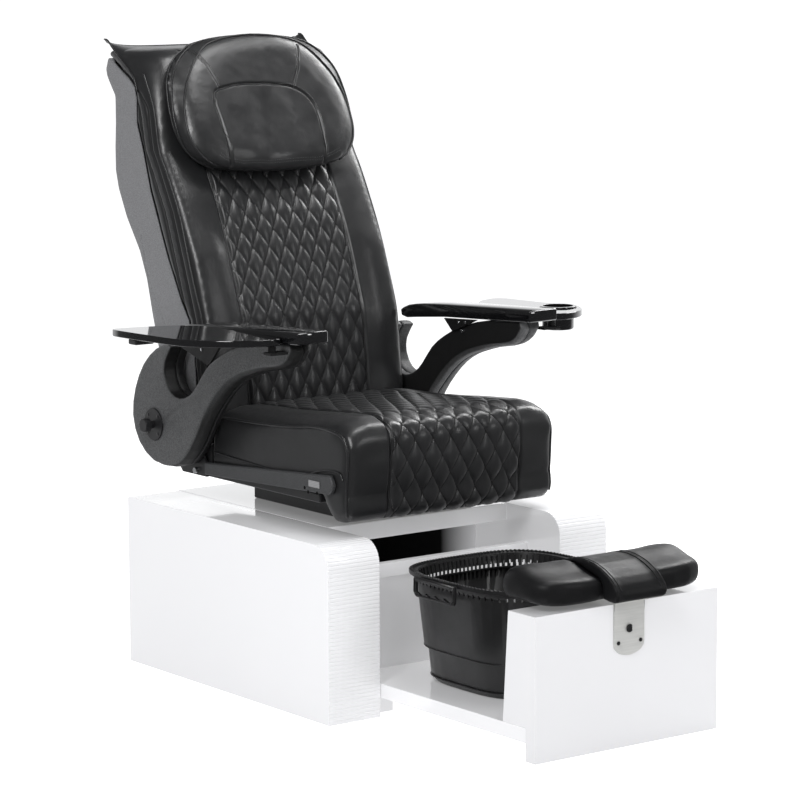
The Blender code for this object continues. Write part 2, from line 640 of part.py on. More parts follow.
def build_seat(seat):
    rings = []
    for side in (-1.0, 1.0):
        drops = SEAT_SHOULDER if side < 0 else SEAT_SHOULDER[::-1]
        for x, drop, draw_in in drops:
            rings.append([(side * x, y + draw_in * (1 if y < 0.3 else -1) * (z > 0.47), z - drop * (z > 0.55))
                          for y, z in SEAT_PROFILE])
    add_piece("seat_cushion", loft(rings), "leather", seat, 60.0)

    pan_low = SLIDE_RAIL_TOP + GAP
    pan = add_piece("seat_frame",
                    box((-SEAT_PAN_HALF_WIDTH, SEAT_PAN_FRONT, pan_low),
                        (SEAT_PAN_HALF_WIDTH, SEAT_PAN_REAR, SEAT_PAN_TOP)),
                    "black_steel", seat)
    bevel(pan, SEAT_PAN_EDGE)
    for name, side in both_sides():
        low, high = span(side, SLIDE_RAIL_INNER, SLIDE_RAIL_OUTER)
        add_piece("seat_" + name + "_slide_rail",
                  box((low, SLIDE_RAIL_FRONT, SLIDE_BOX_TOP + GAP), (high, SLIDE_RAIL_REAR, SLIDE_RAIL_TOP)),
                  "zinc_steel", seat)
        rail = SIDE_RAIL + arc(SIDE_RAIL_NOSE, SIDE_RAIL_NOSE_RADIUS, 90.0, 270.0, 4)[1:-1]
        low, high = span(side, SEAT_HALF_WIDTH + GAP, SIDE_RAIL_OUTER)
        bar = add_piece("seat_" + name + "_side_rail", prism_x(rail, low, high), "charcoal_plastic", seat)
        bevel(bar, SIDE_RAIL_EDGE)
        ear = EAR_FOOT + arc((PIVOT_Y, PIVOT_Z), EAR_RADIUS, -60.0, 150.0, 10) + EAR_NECK
        low, high = span(side, EAR_INNER, EAR_OUTER)
        add_piece("seat_" + name + "_pivot_bracket", prism_x(ear, low, high), "black_steel", seat)
    low, high = span(-1.0, SIDE_RAIL_OUTER + GAP, SIDE_RAIL_OUTER + GAP + LABEL_THICKNESS)
    add_piece("seat_rail_label", box((low, LABEL_FRONT, LABEL_FOOT), (high, LABEL_REAR, LABEL_HEAD)),
              "label_grey", seat)
    outline = arc(RECLINE_BOLT, RECLINE_BOLT_RADIUS, 0.0, 360.0, 16)[:-1]
    low, high = span(-1.0, EAR_OUTER + GAP, EAR_OUTER + GAP + RECLINE_BOLT_LENGTH)
    add_piece("seat_recline_bolt", prism_x(outline, low, high), "chrome", seat)


# ---------------------------------------------------------------- back

SHELL_FRONT = [(0.500, 0.668), (0.600, 0.660), (0.700, 0.668), (0.783, 0.690), (0.825, 0.721), (0.926, 0.778),
               (1.064, 0.842), (1.159, 0.873), (1.216, 0.896), (1.276, 0.896), (1.302, 0.905), (1.320, 0.928),
               (1.336, 0.959), (1.353, 0.988), (1.362, 1.002)]
SHELL_REAR = [(0.500, 0.775), (0.600, 0.795), (0.700, 0.826), (0.762, 0.847), (0.843, 0.869), (0.897, 0.885),
              (0.923, 0.901), (0.975, 0.942), (1.029, 0.975), (1.056, 0.988), (1.110, 1.003), (1.193, 1.001),
              (1.249, 0.994), (1.276, 0.998), (1.303, 1.019), (1.330, 1.039), (1.362, 1.026)]
SHELL_CORNER = 0.020
CUSHION_FRONT = [(0.520, 0.606), (0.597, 0.605), (0.700, 0.617), (0.784, 0.628), (0.864, 0.658),
                 (0.918, 0.678), (1.022, 0.718), (1.105, 0.764), (1.160, 0.798), (1.255, 0.818),
                 (1.302, 0.832), (1.336, 0.845), (1.362, 0.858), (1.372, 0.870), (CUSHION_TOP, 0.894)]
# How far the bolsters stand in front of the middle panel, by height
PANEL_HALF_WIDTH = 0.168
BOLSTER_RISE = [(0.500, 0.010), (0.783, 0.012), (0.864, 0.016), (0.926, 0.016), (1.000, 0.006),
                (1.105, 0.003), (1.159, 0.001), (1.400, 0.001)]
# Across and back reach of the bolsters' outer corner, by height; it rolls back at the shoulders
SHOULDER_ACROSS = [(0.500, 0.022), (1.200, 0.022), (1.276, 0.038), (1.336, 0.060), (1.400, 0.080)]
SHOULDER_BACK = [(0.500, 0.022), (1.200, 0.026), (1.255, 0.040), (1.302, 0.052), (1.336, 0.076),
                 (1.362, 0.106), (1.372, 0.114), (1.400, 0.120)]
# Half width of the top flap, with the reach of its front and rear edges
FLAP_PLAN = [(0.266, 1.000, 1.024), (0.250, 0.975, 1.034), (0.200, 0.920, 1.040)]
# The steel tube's (y, z) run up one side
BACK_TUBE = [(0.706, 0.530), (0.716, 0.640), (0.728, 0.720), (0.750, 0.790), (0.790, 0.870),
             (0.835, 0.960), (0.888, 1.064), (0.914, 1.159), (0.925, 1.260)]


def shell_ring(z, inset=0.0, forward=0.0):
    """A level of the back shell: straight front edge, rounded rear corners."""
    front = table(SHELL_FRONT, z) - forward
    rear = table(SHELL_REAR, z) - inset
    half = BACK_HALF_WIDTH - 0.001 - inset
    radius = SHELL_CORNER
    ring = [(half, front)]
    ring += arc((half - radius, rear - radius), radius, 0.0, 90.0, 5)
    ring += arc((radius - half, rear - radius), radius, 90.0, 180.0, 5)
    ring += [(-half, front)]
    return [(x, y, z) for x, y in ring]


def cushion_ring(z, scale=1.0):
    """A level of the back cushion: bolsters at the sides, square behind."""
    front = table(CUSHION_FRONT, z)
    rear = table(SHELL_FRONT, z) - 2 * GAP if z <= SHELL_TOP else CUSHION_HEEL
    half = BACK_HALF_WIDTH * scale
    crest = front - table(BOLSTER_RISE, z)
    across, back = table(SHOULDER_ACROSS, z), table(SHOULDER_BACK, z)
    right = [(half, rear)]
    right += [(half - across + across * c, crest + back + back * s)
              for c, s in arc((0.0, 0.0), 1.0, 0.0, -90.0, 4)]
    right += [((half - across + PANEL_HALF_WIDTH) / 2, crest + 0.001), (PANEL_HALF_WIDTH, front)]
    ring = right + [(-x, y) for x, y in reversed(right)]
    return [(x, y, z) for x, y in ring]


def build_back(back, headrest):
    levels = (SHELL_FOOT,) + BACK_LEVELS + (SHELL_TOP,)
    shell = add_piece("back_shell", loft([shell_ring(z) for z in levels]), "charcoal_plastic", back, 50.0)
    levels = (SHELL_FOOT + SHELL_WALL,) + BACK_LEVELS + (SHELL_TOP - SHELL_WALL,)
    hollow = loft([shell_ring(z, SHELL_WALL, SHELL_OPEN_FRONT) for z in levels])
    combine(shell, hollow, back, "DIFFERENCE")

    levels = (CUSHION_FOOT,) + BACK_LEVELS + (SHELL_TOP, SHELL_TOP + GAP, SHOULDER_Z)
    rings = [cushion_ring(z) for z in levels]
    rings.append(cushion_ring(CUSHION_TOP, 0.97))
    add_piece("back_cushion", loft(rings), "leather", back, 60.0)

    sections = [flap_section(-x, *reach) for x, *reach in FLAP_PLAN]
    sections += [flap_section(x, *reach) for x, *reach in reversed(FLAP_PLAN)]
    cover = add_piece("back_top_flap", loft(sections), "leather", back, 60.0)
    bevel(cover, EDGE_BREAK)
    build_back_frame(back)
    build_pillow(headrest)


def flap_section(x, front, rear):
    """Section of the top flap at x: it lies on the cushion and its rear lip curls up."""
    foot = CUSHION_TOP + GAP
    heel = max(rear - 0.030, front + 0.004)
    return [(x, front, foot), (x, heel, foot), (x, rear - 0.010, foot + 0.010),
            (x, rear, foot + FLAP_RISE - 0.003), (x, rear - 0.005, foot + FLAP_RISE),
            (x, rear - 0.017, foot + 0.016), (x, heel - 0.002, foot + 0.009), (x, front, foot + 0.008)]


def build_back_frame(back):
    """A steel tube loop that stiffens the shell and ends at the recline pivots."""
    half = BACK_TUBE_HALF_WIDTH
    path = [(-half, y, z) for y, z in BACK_TUBE] + [(half, y, z) for y, z in reversed(BACK_TUBE)]
    curve = bpy.data.curves.new("back_frame", "CURVE")
    curve.dimensions = "3D"
    curve.bevel_depth = BACK_TUBE_RADIUS
    curve.bevel_resolution = 2
    spline = curve.splines.new("POLY")
    spline.points.add(len(path) - 1)
    for point, place in zip(spline.points, path):
        point.co = (*(Vector(place) - back.position), 1.0)
    spline.use_cyclic_u = True
    curve.materials.append(material("black_steel", *LOOKS["black_steel"]))
    frame = bpy.data.objects.new("back_frame", curve)
    bpy.context.scene.collection.objects.link(frame)
    frame.parent = back.empty


PILLOW_REAR_EDGE = [(0.0, 0.160), (0.080, 0.158), (0.140, 0.152), (0.184, 0.140), (0.222, 0.112),
                    (0.243, 0.070), (0.249, 0.010), (0.244, -0.040), (0.230, -0.085), (0.203, -0.125),
                    (0.158, -0.147), (0.080, -0.155), (0.0, -0.157)]
PILLOW_FRONT_EDGE = [(0.0, 0.174), (0.050, 0.169), (0.100, 0.153), (0.140, 0.120), (0.172, 0.076),
                     (0.195, 0.034), (0.210, -0.004), (0.218, -0.042), (0.217, -0.075), (0.204, -0.104),
                     (0.172, -0.134), (0.090, -0.150), (0.0, -0.154)]
# Share of the way from the rear edge to the front one, with the outline's scale there
PILLOW_DEPTHS = [(0.0, 0.92), (0.08, 0.98), (0.25, 1.0), (0.80, 1.0), (0.93, 0.95), (1.06, 0.80)]


def build_pillow(headrest):
    """A soft D-shaped pillow: a broad rear outline, a narrower front one that leans further back."""
    rings = []
    for depth, scale in PILLOW_DEPTHS:
        mix = min(depth, 1.0)
        foot = PILLOW_REAR[0].lerp(PILLOW_FRONT[0], depth)
        head = PILLOW_REAR[1].lerp(PILLOW_FRONT[1], depth)
        up = (head - foot).normalized()
        right = [(a + (c - a) * mix, b + (d - b) * mix)
                 for (a, b), (c, d) in zip(PILLOW_REAR_EDGE, PILLOW_FRONT_EDGE)]
        outline = smooth_path(right + [(-u, v) for u, v in reversed(right[1:-1])], 2)
        rings.append([(head + foot) / 2 + scale * (Vector((u, 0.0, 0.0)) + up * v) for u, v in outline])
    add_piece("headrest_pillow", loft(rings), "leather", headrest, 60.0)


# ---------------------------------------------------------------- arms

ARM_UNDERSIDE = [(0.188, 0.774), (0.204, 0.752), (0.230, 0.7375), (0.262, 0.731), (0.300, 0.726),
                 (0.352, 0.714), (0.395, 0.700), (0.443, 0.675), (0.490, 0.636), (0.533, 0.587),
                 (0.566, 0.534), (0.607, 0.487), (0.655, 0.464), (0.734, 0.466), (0.794, 0.502),
                 (0.820, 0.560), (0.808, 0.624), (0.771, 0.683), (0.719, 0.722), (0.668, 0.738)]
# Swell of the underside at the seam between the arm's two shells
ARM_SWELL = [(0.0, 0.010), (0.262, 0.010), (0.352, 0.014), (0.500, 0.014), (0.607, 0.005), (0.790, 0.003),
             (0.830, 0.004)]
ARM_TIP = [(0.300, 0.7790), (0.190, 0.7850)]
ARM_WINDOW = [(0.655, 0.733), (0.681, 0.697), (0.682, 0.663), (0.660, 0.632), (0.622, 0.621),
              (0.584, 0.632), (0.554, 0.656), (0.516, 0.698), (0.471, 0.727), (0.412, 0.753),
              (0.350, 0.770)]
CAP_TOP = [(0.140, 0.815), (0.310, 0.808), (0.450, 0.802), (0.530, 0.797), (0.590, 0.789), (0.622, 0.776)]
CAP_UNDERSIDE = [(0.618, 0.761), (0.598, 0.758), (0.562, 0.762), (0.446, 0.773), (0.300, 0.781),
                 (0.140, 0.789)]


def arm_outline(swell):
    """The arm's side view; its underside stands out by a share of the swell."""
    underside = smooth_path(ARM_UNDERSIDE, 2, closed=False)
    swollen = []
    for i, (y, z) in enumerate(underside):
        (y0, z0), (y1, z1) = underside[max(i - 1, 0)], underside[min(i + 1, len(underside) - 1)]
        along = Vector((y1 - y0, z1 - z0)).normalized()
        reach = swell * table(ARM_SWELL, y)
        swollen.append((y + reach * along.y, z - reach * along.x))
    return swollen + smooth_path(ARM_WINDOW, 2, closed=False) + ARM_TIP


def build_arm(name, side, arm, tray, tray_pivot_y, plan, strut, strut_x):
    prefix = name + "_arm_"
    for part, seam, band, face in (
            ("outer_shell", ARM_SEAM + GAP / 2, ARM_OUTER - ARM_BAND_OUTER, ARM_OUTER),
            ("inner_shell", ARM_SEAM - GAP / 2, ARM_INNER + ARM_BAND_INNER, ARM_INNER)):
        rings = [[(side * x, y, z) for y, z in arm_outline(swell)]
                 for x, swell in ((seam, 1.0), (band, ARM_BAND_SWELL), (face, 0.0))]
        shell = add_piece(prefix + part, loft(rings), "charcoal_plastic", arm)
        bevel(shell, ARM_EDGE, 1, ARM_EDGE_ANGLE)

    low, high = span(side, CAP_INNER, CAP_OUTER)
    cap_outline = smooth_path(CAP_TOP, 2, closed=False) + CAP_UNDERSIDE
    cap = add_piece(prefix + "cap", prism_x(cap_outline, low, high), "gloss_black", arm)
    bevel(cap, CAP_EDGE, 2)

    low, high = span(side, *strut_x)
    add_piece(prefix + "cap_strut", prism_x(strut, low, high), "black_steel", arm)

    pivot = (PIVOT_Y, PIVOT_Z)
    plate_outer = ARM_OUTER + GAP + HUB_PLATE_THICKNESS
    low, high = span(side, ARM_OUTER + GAP, plate_outer)
    plate = add_piece(prefix + "pivot_plate", disc_x(pivot, HUB_PLATE_RADIUS, low, high), "black_steel", arm)
    bevel(plate, HUB_PLATE_EDGE)
    low, high = span(side, PIN_HEAD_INNER, PIN_HEAD_OUTER)
    pin = add_piece(prefix + "pivot_pin", disc_x(pivot, PIN_RADIUS, low, high, 20), "black_steel", arm)
    low, high = span(side, plate_outer + GAP, (PIN_HEAD_INNER + PIN_HEAD_OUTER) / 2)
    combine(pin, disc_x(pivot, PIN_NECK_RADIUS, low, high, 20), arm, "UNION")

    low, high = span(side, ARM_OUTER + GAP, TRAY_FOOT_REACH)
    foot = box((low, tray_pivot_y - TRAY_FOOT_HALF_LENGTH, TRAY_FOOT_LOW),
               (high, tray_pivot_y + TRAY_FOOT_HALF_LENGTH, TRAY_FOOT_HIGH))
    bracket = add_piece(name + "_tray_pivot", foot, "black_steel", arm)
    post = prism_z(arc((side * TRAY_PIVOT_X, tray_pivot_y), TRAY_POST_RADIUS, 0.0, 360.0, 16)[:-1],
                   (TRAY_FOOT_LOW + TRAY_FOOT_HIGH) / 2, TRAY_TOP_Z - TRAY_THICKNESS - GAP)
    combine(bracket, post, arm, "UNION")

    nose = arc((TRAY_PIVOT_X, tray_pivot_y), TRAY_NOSE_RADIUS, 180.0, 270.0, 5)
    outline = [(side * x, y) for x, y in nose + plan]
    slab = prism_z(outline, TRAY_TOP_Z - TRAY_THICKNESS, TRAY_TOP_Z)
    return add_piece(name + "_tray", slab, "gloss_black", tray)


# Plan of each tray from its nose round to the inner edge, and the (y, z) side of each cap strut
LEFT_TRAY = [(0.400, 0.1880), (0.452, 0.2120), (0.510, 0.270), (0.538, 0.320), (0.548, 0.400), (0.558, 0.520),
             (0.553, 0.556), (0.530, 0.560), (0.469, 0.547), (0.405, 0.520), (0.368, 0.476)]
RIGHT_TRAY = [(0.396, 0.1590), (0.433, 0.1690), (0.468, 0.1930), (0.497, 0.232), (0.512, 0.275),
              (0.494, 0.325), (0.482, 0.390), (0.474, 0.460), (0.462, 0.486), (0.438, 0.490), (0.398, 0.475)]
LEFT_TRAY_END = (TRAY_INNER_X, 0.440)
RIGHT_TRAY_END = (TRAY_INNER_X, 0.435)
LEFT_STRUT = [(0.444, 0.7695), (0.499, 0.7130), (0.509, 0.7065), (0.634, 0.7410), (0.606, 0.7545),
              (0.562, 0.7590)]
RIGHT_STRUT = [(0.336, 0.7765), (0.385, 0.7570), (0.428, 0.7410), (0.460, 0.7695)]
LEFT_STRUT_X = (ARM_OUTER - 0.008, ARM_OUTER - 0.003)
RIGHT_STRUT_X = (ARM_INNER - 0.007, ARM_INNER - 0.001)
SLIDER_LOW = (-0.548, 0.470, 0.7720)
SLIDER_HIGH = (-0.500, 0.500, TRAY_TOP_Z - TRAY_THICKNESS - GAP)
SLIDER_EDGE = 0.002


def build_arms(arms, trays):
    left_plan = smooth_path(LEFT_TRAY, 2, closed=False) + [LEFT_TRAY_END]
    build_arm("left", -1.0, arms["left"], trays["left"], LEFT_TRAY_PIVOT_Y, left_plan, LEFT_STRUT,
              LEFT_STRUT_X)
    slider = add_piece("left_tray_slider", box(SLIDER_LOW, SLIDER_HIGH), "black_steel", trays["left"])
    bevel(slider, SLIDER_EDGE)

    right_plan = smooth_path(RIGHT_TRAY, 2, closed=False) + [RIGHT_TRAY_END]
    tray = build_arm("right", 1.0, arms["right"], trays["right"], RIGHT_TRAY_PIVOT_Y, right_plan,
                     RIGHT_STRUT, RIGHT_STRUT_X)
    bore_outline = arc(CUP_CENTRE, CUP_RADIUS + CUP_BORE_CLEARANCE, 0.0, 360.0, 32)[:-1]
    bore = prism_z(bore_outline, TRAY_TOP_Z - 2 * TRAY_THICKNESS, TRAY_TOP_Z + TRAY_THICKNESS)
    combine(tray, bore, trays["right"], "DIFFERENCE")
    lip = TRAY_TOP_Z + GAP
    foot = TRAY_TOP_Z - CUP_DEPTH
    inner = CUP_RADIUS - CUP_WALL
    profile = [(CUP_RADIUS - 0.003, foot), (CUP_RADIUS, foot + 0.004), (CUP_RADIUS, lip), (CUP_FLANGE, lip),
               (CUP_FLANGE - 0.001, lip + 0.003), (inner, lip + 0.003), (inner, foot + 0.005),
               (inner - 0.003, foot + 0.003)]
    add_piece("right_cup_holder", turned_ring(CUP_CENTRE, profile), "gloss_black", trays["right"], 40.0)


# ---------------------------------------------------------------- assembly

def clear_scene():
    for old in list(bpy.data.objects):
        bpy.data.objects.remove(old, do_unlink=True)


def main():
    clear_scene()
    base = Body("base", (0.0, 0.0, 0.0))
    drawer = Body("drawer", (0.0, DRAWER_FRONT, TRAY_BOTTOM), base)
    wheels = {name: Body(name + "_caster", (side * CASTER_X, CASTER_Y, CASTER_RADIUS), drawer)
              for name, side in both_sides()}
    footrest = Body("footrest", (0.0, HINGE_Y, HINGE_Z), drawer)
    bucket = Body("bucket", (0.0, BUCKET_Y, TRAY_TOP), drawer)
    handles = {name: Body(name + "_handle", (side * HANDLE_X, HANDLE_PIVOT_Y, HANDLE_PIVOT_Z), bucket)
               for name, side in both_sides()}
    seat = Body("seat", (0.0, (SLIDE_BOX_FRONT + SLIDE_BOX_REAR) / 2, SLIDE_BOX_TOP), base)
    back = Body("back", (0.0, PIVOT_Y, PIVOT_Z), seat)
    headrest = Body("headrest", PILLOW_CENTRE, back)
    arms = {name: Body(name + "_arm", (side * ARM_INNER, PIVOT_Y, PIVOT_Z), seat)
            for name, side in both_sides()}
    trays = {"left": Body("left_tray", (-TRAY_PIVOT_X, LEFT_TRAY_PIVOT_Y, TRAY_TOP_Z), arms["left"]),
             "right": Body("right_tray", (TRAY_PIVOT_X, RIGHT_TRAY_PIVOT_Y, TRAY_TOP_Z), arms["right"])}

    build_base(base)
    build_drawer(drawer, wheels)
    build_footrest(footrest)
    build_bucket(bucket, handles)
    build_seat(seat)
    build_back(back, headrest)
    build_arms(arms, trays)


main()
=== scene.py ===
import json
import math

import bmesh
import bpy
import numpy as np
from mathutils import Matrix, Vector, noise
from mathutils.bvhtree import BVHTree


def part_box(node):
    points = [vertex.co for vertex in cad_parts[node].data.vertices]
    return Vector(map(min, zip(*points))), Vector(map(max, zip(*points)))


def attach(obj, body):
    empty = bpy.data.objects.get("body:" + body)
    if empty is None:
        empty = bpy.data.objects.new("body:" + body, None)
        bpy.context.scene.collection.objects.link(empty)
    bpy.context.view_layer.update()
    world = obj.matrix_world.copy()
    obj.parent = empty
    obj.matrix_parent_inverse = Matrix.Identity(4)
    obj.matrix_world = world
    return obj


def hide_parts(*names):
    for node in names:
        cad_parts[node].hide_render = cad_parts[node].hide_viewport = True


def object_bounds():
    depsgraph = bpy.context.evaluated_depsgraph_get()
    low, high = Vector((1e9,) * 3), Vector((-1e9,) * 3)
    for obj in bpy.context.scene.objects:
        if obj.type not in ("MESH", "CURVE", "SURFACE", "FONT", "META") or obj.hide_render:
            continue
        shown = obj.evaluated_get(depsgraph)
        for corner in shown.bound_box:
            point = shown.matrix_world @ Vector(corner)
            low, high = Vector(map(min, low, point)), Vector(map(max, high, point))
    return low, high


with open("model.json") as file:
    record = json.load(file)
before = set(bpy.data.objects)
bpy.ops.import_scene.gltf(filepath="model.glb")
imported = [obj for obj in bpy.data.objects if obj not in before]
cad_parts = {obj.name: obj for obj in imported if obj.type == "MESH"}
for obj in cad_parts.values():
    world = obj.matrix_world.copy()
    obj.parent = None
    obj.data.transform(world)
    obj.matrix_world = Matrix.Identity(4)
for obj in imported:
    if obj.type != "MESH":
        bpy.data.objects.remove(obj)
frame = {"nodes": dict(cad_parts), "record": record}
CAD_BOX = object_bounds()
NODES = frame["nodes"]
BODY_OF = {node: body for body, members in frame["record"]["behaviour"]["bodies"].items()
           for node in members}
SLOT_OF = {part["node"]: part["material_slot"] for part in frame["record"]["subparts"]}

# Y of the cabinet's front, from which the lengths below are measured backwards
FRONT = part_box("base_deck")[0].y - 0.187


def place(x, y, z):
    """A point x across, y behind the cabinet's front and z above the floor."""
    return Vector((x, FRONT + y, z))


# ---------------------------------------------------------------- camera and light

CAMERA_AT = (-4.2406, -6.2148, 1.6742)
CAMERA_YAW = math.radians(36.67)
CAMERA_PITCH = math.radians(8.38)
CAMERA_ROLL = math.radians(-0.28)
CAMERA_LENS = 146.69

SOFT_LIGHT = 0.66
ROOM_GLOW = 0.12
BACKDROP_GLOW = 1.15


def make_camera():
    camera = bpy.data.cameras.new("camera")
    camera.sensor_width = 36.0
    camera.lens = CAMERA_LENS
    camera.clip_end = 100.0
    level = Vector((math.sin(CAMERA_YAW), math.cos(CAMERA_YAW), 0.0))
    ahead = level * math.cos(CAMERA_PITCH) - Vector((0.0, 0.0, math.sin(CAMERA_PITCH)))
    across = Vector((math.cos(CAMERA_YAW), -math.sin(CAMERA_YAW), 0.0))
    above = across.cross(ahead)
    cos, sin = math.cos(CAMERA_ROLL), math.sin(CAMERA_ROLL)
    right, up = cos * across + sin * above, cos * above - sin * across
    rotation = Matrix((right, up, -ahead)).transposed().to_4x4()
    holder = bpy.data.objects.new("camera", camera)
    holder.matrix_world = Matrix.Translation(CAMERA_AT) @ rotation
    bpy.context.scene.collection.objects.link(holder)
    bpy.context.scene.camera = holder


def area_light(name, at, target, size, power):
    light = bpy.data.lights.new(name, "AREA")
    light.shape = "RECTANGLE"
    light.size, light.size_y = size
    light.energy = power
    holder = bpy.data.objects.new(name, light)
    holder.location = at
    holder.rotation_mode = "QUATERNION"
    holder.rotation_quaternion = (Vector(target) - Vector(at)).to_track_quat("-Z", "Y")
    bpy.context.scene.collection.objects.link(holder)


class Tree:
    """Short ways to add nodes to a node tree."""

    def __init__(self, tree):
        self.tree = tree

    def node(self, kind, **settings):
        made = self.tree.nodes.new(kind)
        for key, value in settings.items():
            setattr(made, key, value)
        return made

    def feed(self, socket, value):
        if isinstance(value, bpy.types.NodeSocket):
            self.tree.links.new(value, socket)
        else:
            socket.default_value = value

    def ranged(self, value, low, high, to_low=0.0, to_high=1.0, interpolation="LINEAR"):
        made = self.node("ShaderNodeMapRange", interpolation_type=interpolation)
        limits = {"Value": value, "From Min": low, "From Max": high, "To Min": to_low, "To Max": to_high}
        for socket, number in limits.items():
            self.feed(made.inputs[socket], number)
        return made.outputs[0]

    def mixed(self, share, low, high):
        made = self.node("ShaderNodeMix", data_type="FLOAT")
        for index, value in ((0, share), (2, low), (3, high)):
            self.feed(made.inputs[index], value)
        return made.outputs[0]


def make_world():
    """White to look at, softer as light, and in reflections a white backdrop in a dark room."""
    world = bpy.data.worlds.new("studio")
    bpy.context.scene.world = world
    world.use_nodes = True
    world.node_tree.nodes.clear()
    tree = Tree(world.node_tree)
    direction = tree.node("ShaderNodeTexCoord").outputs["Generated"]
    behind = tree.node("ShaderNodeVectorMath", operation="DOT_PRODUCT")
    behind.inputs[1].default_value = (math.sin(CAMERA_YAW), math.cos(CAMERA_YAW), 0.0)
    tree.feed(behind.inputs[0], direction)
    height = tree.node("ShaderNodeSeparateXYZ")
    tree.feed(height.inputs[0], direction)
    backdrop = tree.node("ShaderNodeMath", operation="MULTIPLY")
    tree.feed(backdrop.inputs[0], tree.ranged(behind.outputs["Value"], 0.15, 0.75, 0.0, 1.0, "SMOOTHSTEP"))
    tree.feed(backdrop.inputs[1], tree.ranged(height.outputs["Z"], 0.30, 0.60, 1.0, 0.0, "SMOOTHSTEP"))
    mirrored = tree.ranged(backdrop.outputs[0], 0.0, 1.0, ROOM_GLOW, BACKDROP_GLOW, "SMOOTHSTEP")
    path = tree.node("ShaderNodeLightPath")
    seen = tree.mixed(path.outputs["Is Camera Ray"], SOFT_LIGHT, 1.0)
    background = tree.node("ShaderNodeBackground")
    tree.feed(background.inputs["Strength"], tree.mixed(path.outputs["Is Glossy Ray"], seen, mirrored))
    background.inputs["Color"].default_value = (0.985, 0.99, 1.0, 1.0)
    tree.feed(tree.node("ShaderNodeOutputWorld").inputs[0], background.outputs[0])


def make_floor():
    """A wide white sweep that glows a little, so that it stays pale far away."""
    bpy.ops.mesh.primitive_plane_add(size=400.0, location=(0.0, 0.0, CAD_BOX[0].z - 0.0004))
    floor = bpy.context.object
    floor.name = "floor"
    shader = Shader("floor_pale", (0.80, 0.80, 0.80), 1.0)
    shader.tint(shader.noise(2.0), 0.995, 1.0)
    shader.set(Emission_Color=(1.0, 1.0, 1.0, 1.0), Emission_Strength=0.56, Specular_IOR_Level=0.0)
    floor.data.materials.append(shader.material)
    floor.visible_glossy = False


def make_studio():
    make_world()
    make_floor()
    middle = (0.0, 0.0, 0.8)
    area_light("key", (-3.0, -2.4, 3.2), middle, (0.9, 1.7), 92.0)
    area_light("rim", (2.6, 0.2, 2.9), middle, (0.8, 2.0), 84.0)
    area_light("top", (0.4, -1.0, 3.4), middle, (1.3, 0.7), 34.0)
    area_light("low", (1.4, -3.6, 1.9), middle, (0.35, 1.3), 15.0)
    bpy.context.scene.view_settings.view_transform = "Standard"


# ---------------------------------------------------------------- materials

class Shader(Tree):
    """A Principled material with short ways to add node detail to it."""

    def __init__(self, name, colour, roughness, metallic=0.0):
        self.material = bpy.data.materials.new(name)
        self.material.use_nodes = True
        super().__init__(self.material.node_tree)
        self.main = self.tree.nodes["Principled BSDF"]
        self.colour = tuple(colour) + (1.0,)
        self.main.inputs["Base Color"].default_value = self.colour
        self.main.inputs["Roughness"].default_value = roughness
        self.main.inputs["Metallic"].default_value = metallic
        self.place = self.tree.nodes.new("ShaderNodeTexCoord").outputs["Object"]
        self.normal = None

    def stretched(self, scale):
        mapping = self.node("ShaderNodeMapping")
        self.feed(mapping.inputs["Vector"], self.place)
        mapping.inputs["Scale"].default_value = scale
        return mapping.outputs[0]

    def noise(self, scale, detail=3.0, roughness=0.5, vector=None, distortion=0.0):
        made = self.node("ShaderNodeTexNoise")
        self.feed(made.inputs["Vector"], vector or self.place)
        made.inputs["Scale"].default_value = scale
        made.inputs["Detail"].default_value = detail
        made.inputs["Roughness"].default_value = roughness
        made.inputs["Distortion"].default_value = distortion
        return made.outputs["Fac"]

    def cells(self, scale, feature="F1"):
        made = self.node("ShaderNodeTexVoronoi", feature=feature)
        self.feed(made.inputs["Vector"], self.place)
        made.inputs["Scale"].default_value = scale
        return made.outputs["Distance"]

    def tint(self, value, low, high):
        """Base colour runs between two multiples of the plain colour."""
        mix = self.node("ShaderNodeMix", data_type="RGBA")
        self.feed(mix.inputs[0], value)
        mix.inputs[6].default_value = tuple(min(1.0, c * low) for c in self.colour[:3]) + (1.0,)
        mix.inputs[7].default_value = tuple(min(1.0, c * high) for c in self.colour[:3]) + (1.0,)
        self.feed(self.main.inputs["Base Color"], mix.outputs[2])

    def shade_sides(self, band, face):
        """Painted light and shade: side faces take face's share of the colour, all other surfaces band's share.
        """
        facing = self.node("ShaderNodeSeparateXYZ")
        self.feed(facing.inputs[0], self.node("ShaderNodeTexCoord").outputs["Normal"])
        sideways = self.node("ShaderNodeMath", operation="ABSOLUTE")
        self.feed(sideways.inputs[0], facing.outputs["X"])
        flat = self.ranged(sideways.outputs[0], 0.55, 0.92, band, face)
        mix = self.node("ShaderNodeMix", data_type="RGBA", blend_type="MULTIPLY")
        mix.inputs[0].default_value = 1.0
        shaded = self.main.inputs["Base Color"].links[0].from_socket
        self.feed(mix.inputs[6], shaded)
        self.feed(mix.inputs[7], flat)
        self.feed(self.main.inputs["Base Color"], mix.outputs[2])

    def rough(self, value, low, high):
        self.feed(self.main.inputs["Roughness"], self.ranged(value, 0.25, 0.75, low, high))

    def bump(self, height, distance, strength=1.0):
        made = self.node("ShaderNodeBump")
        made.inputs["Strength"].default_value = strength
        made.inputs["Distance"].default_value = distance
        self.feed(made.inputs["Height"], height)
        if self.normal is not None:
            self.feed(made.inputs["Normal"], self.normal)
        self.normal = made.outputs[0]
        self.feed(self.main.inputs["Normal"], self.normal)

    def set(self, **values):
        for key, value in values.items():
            self.main.inputs[key.replace("_", " ")].default_value = value


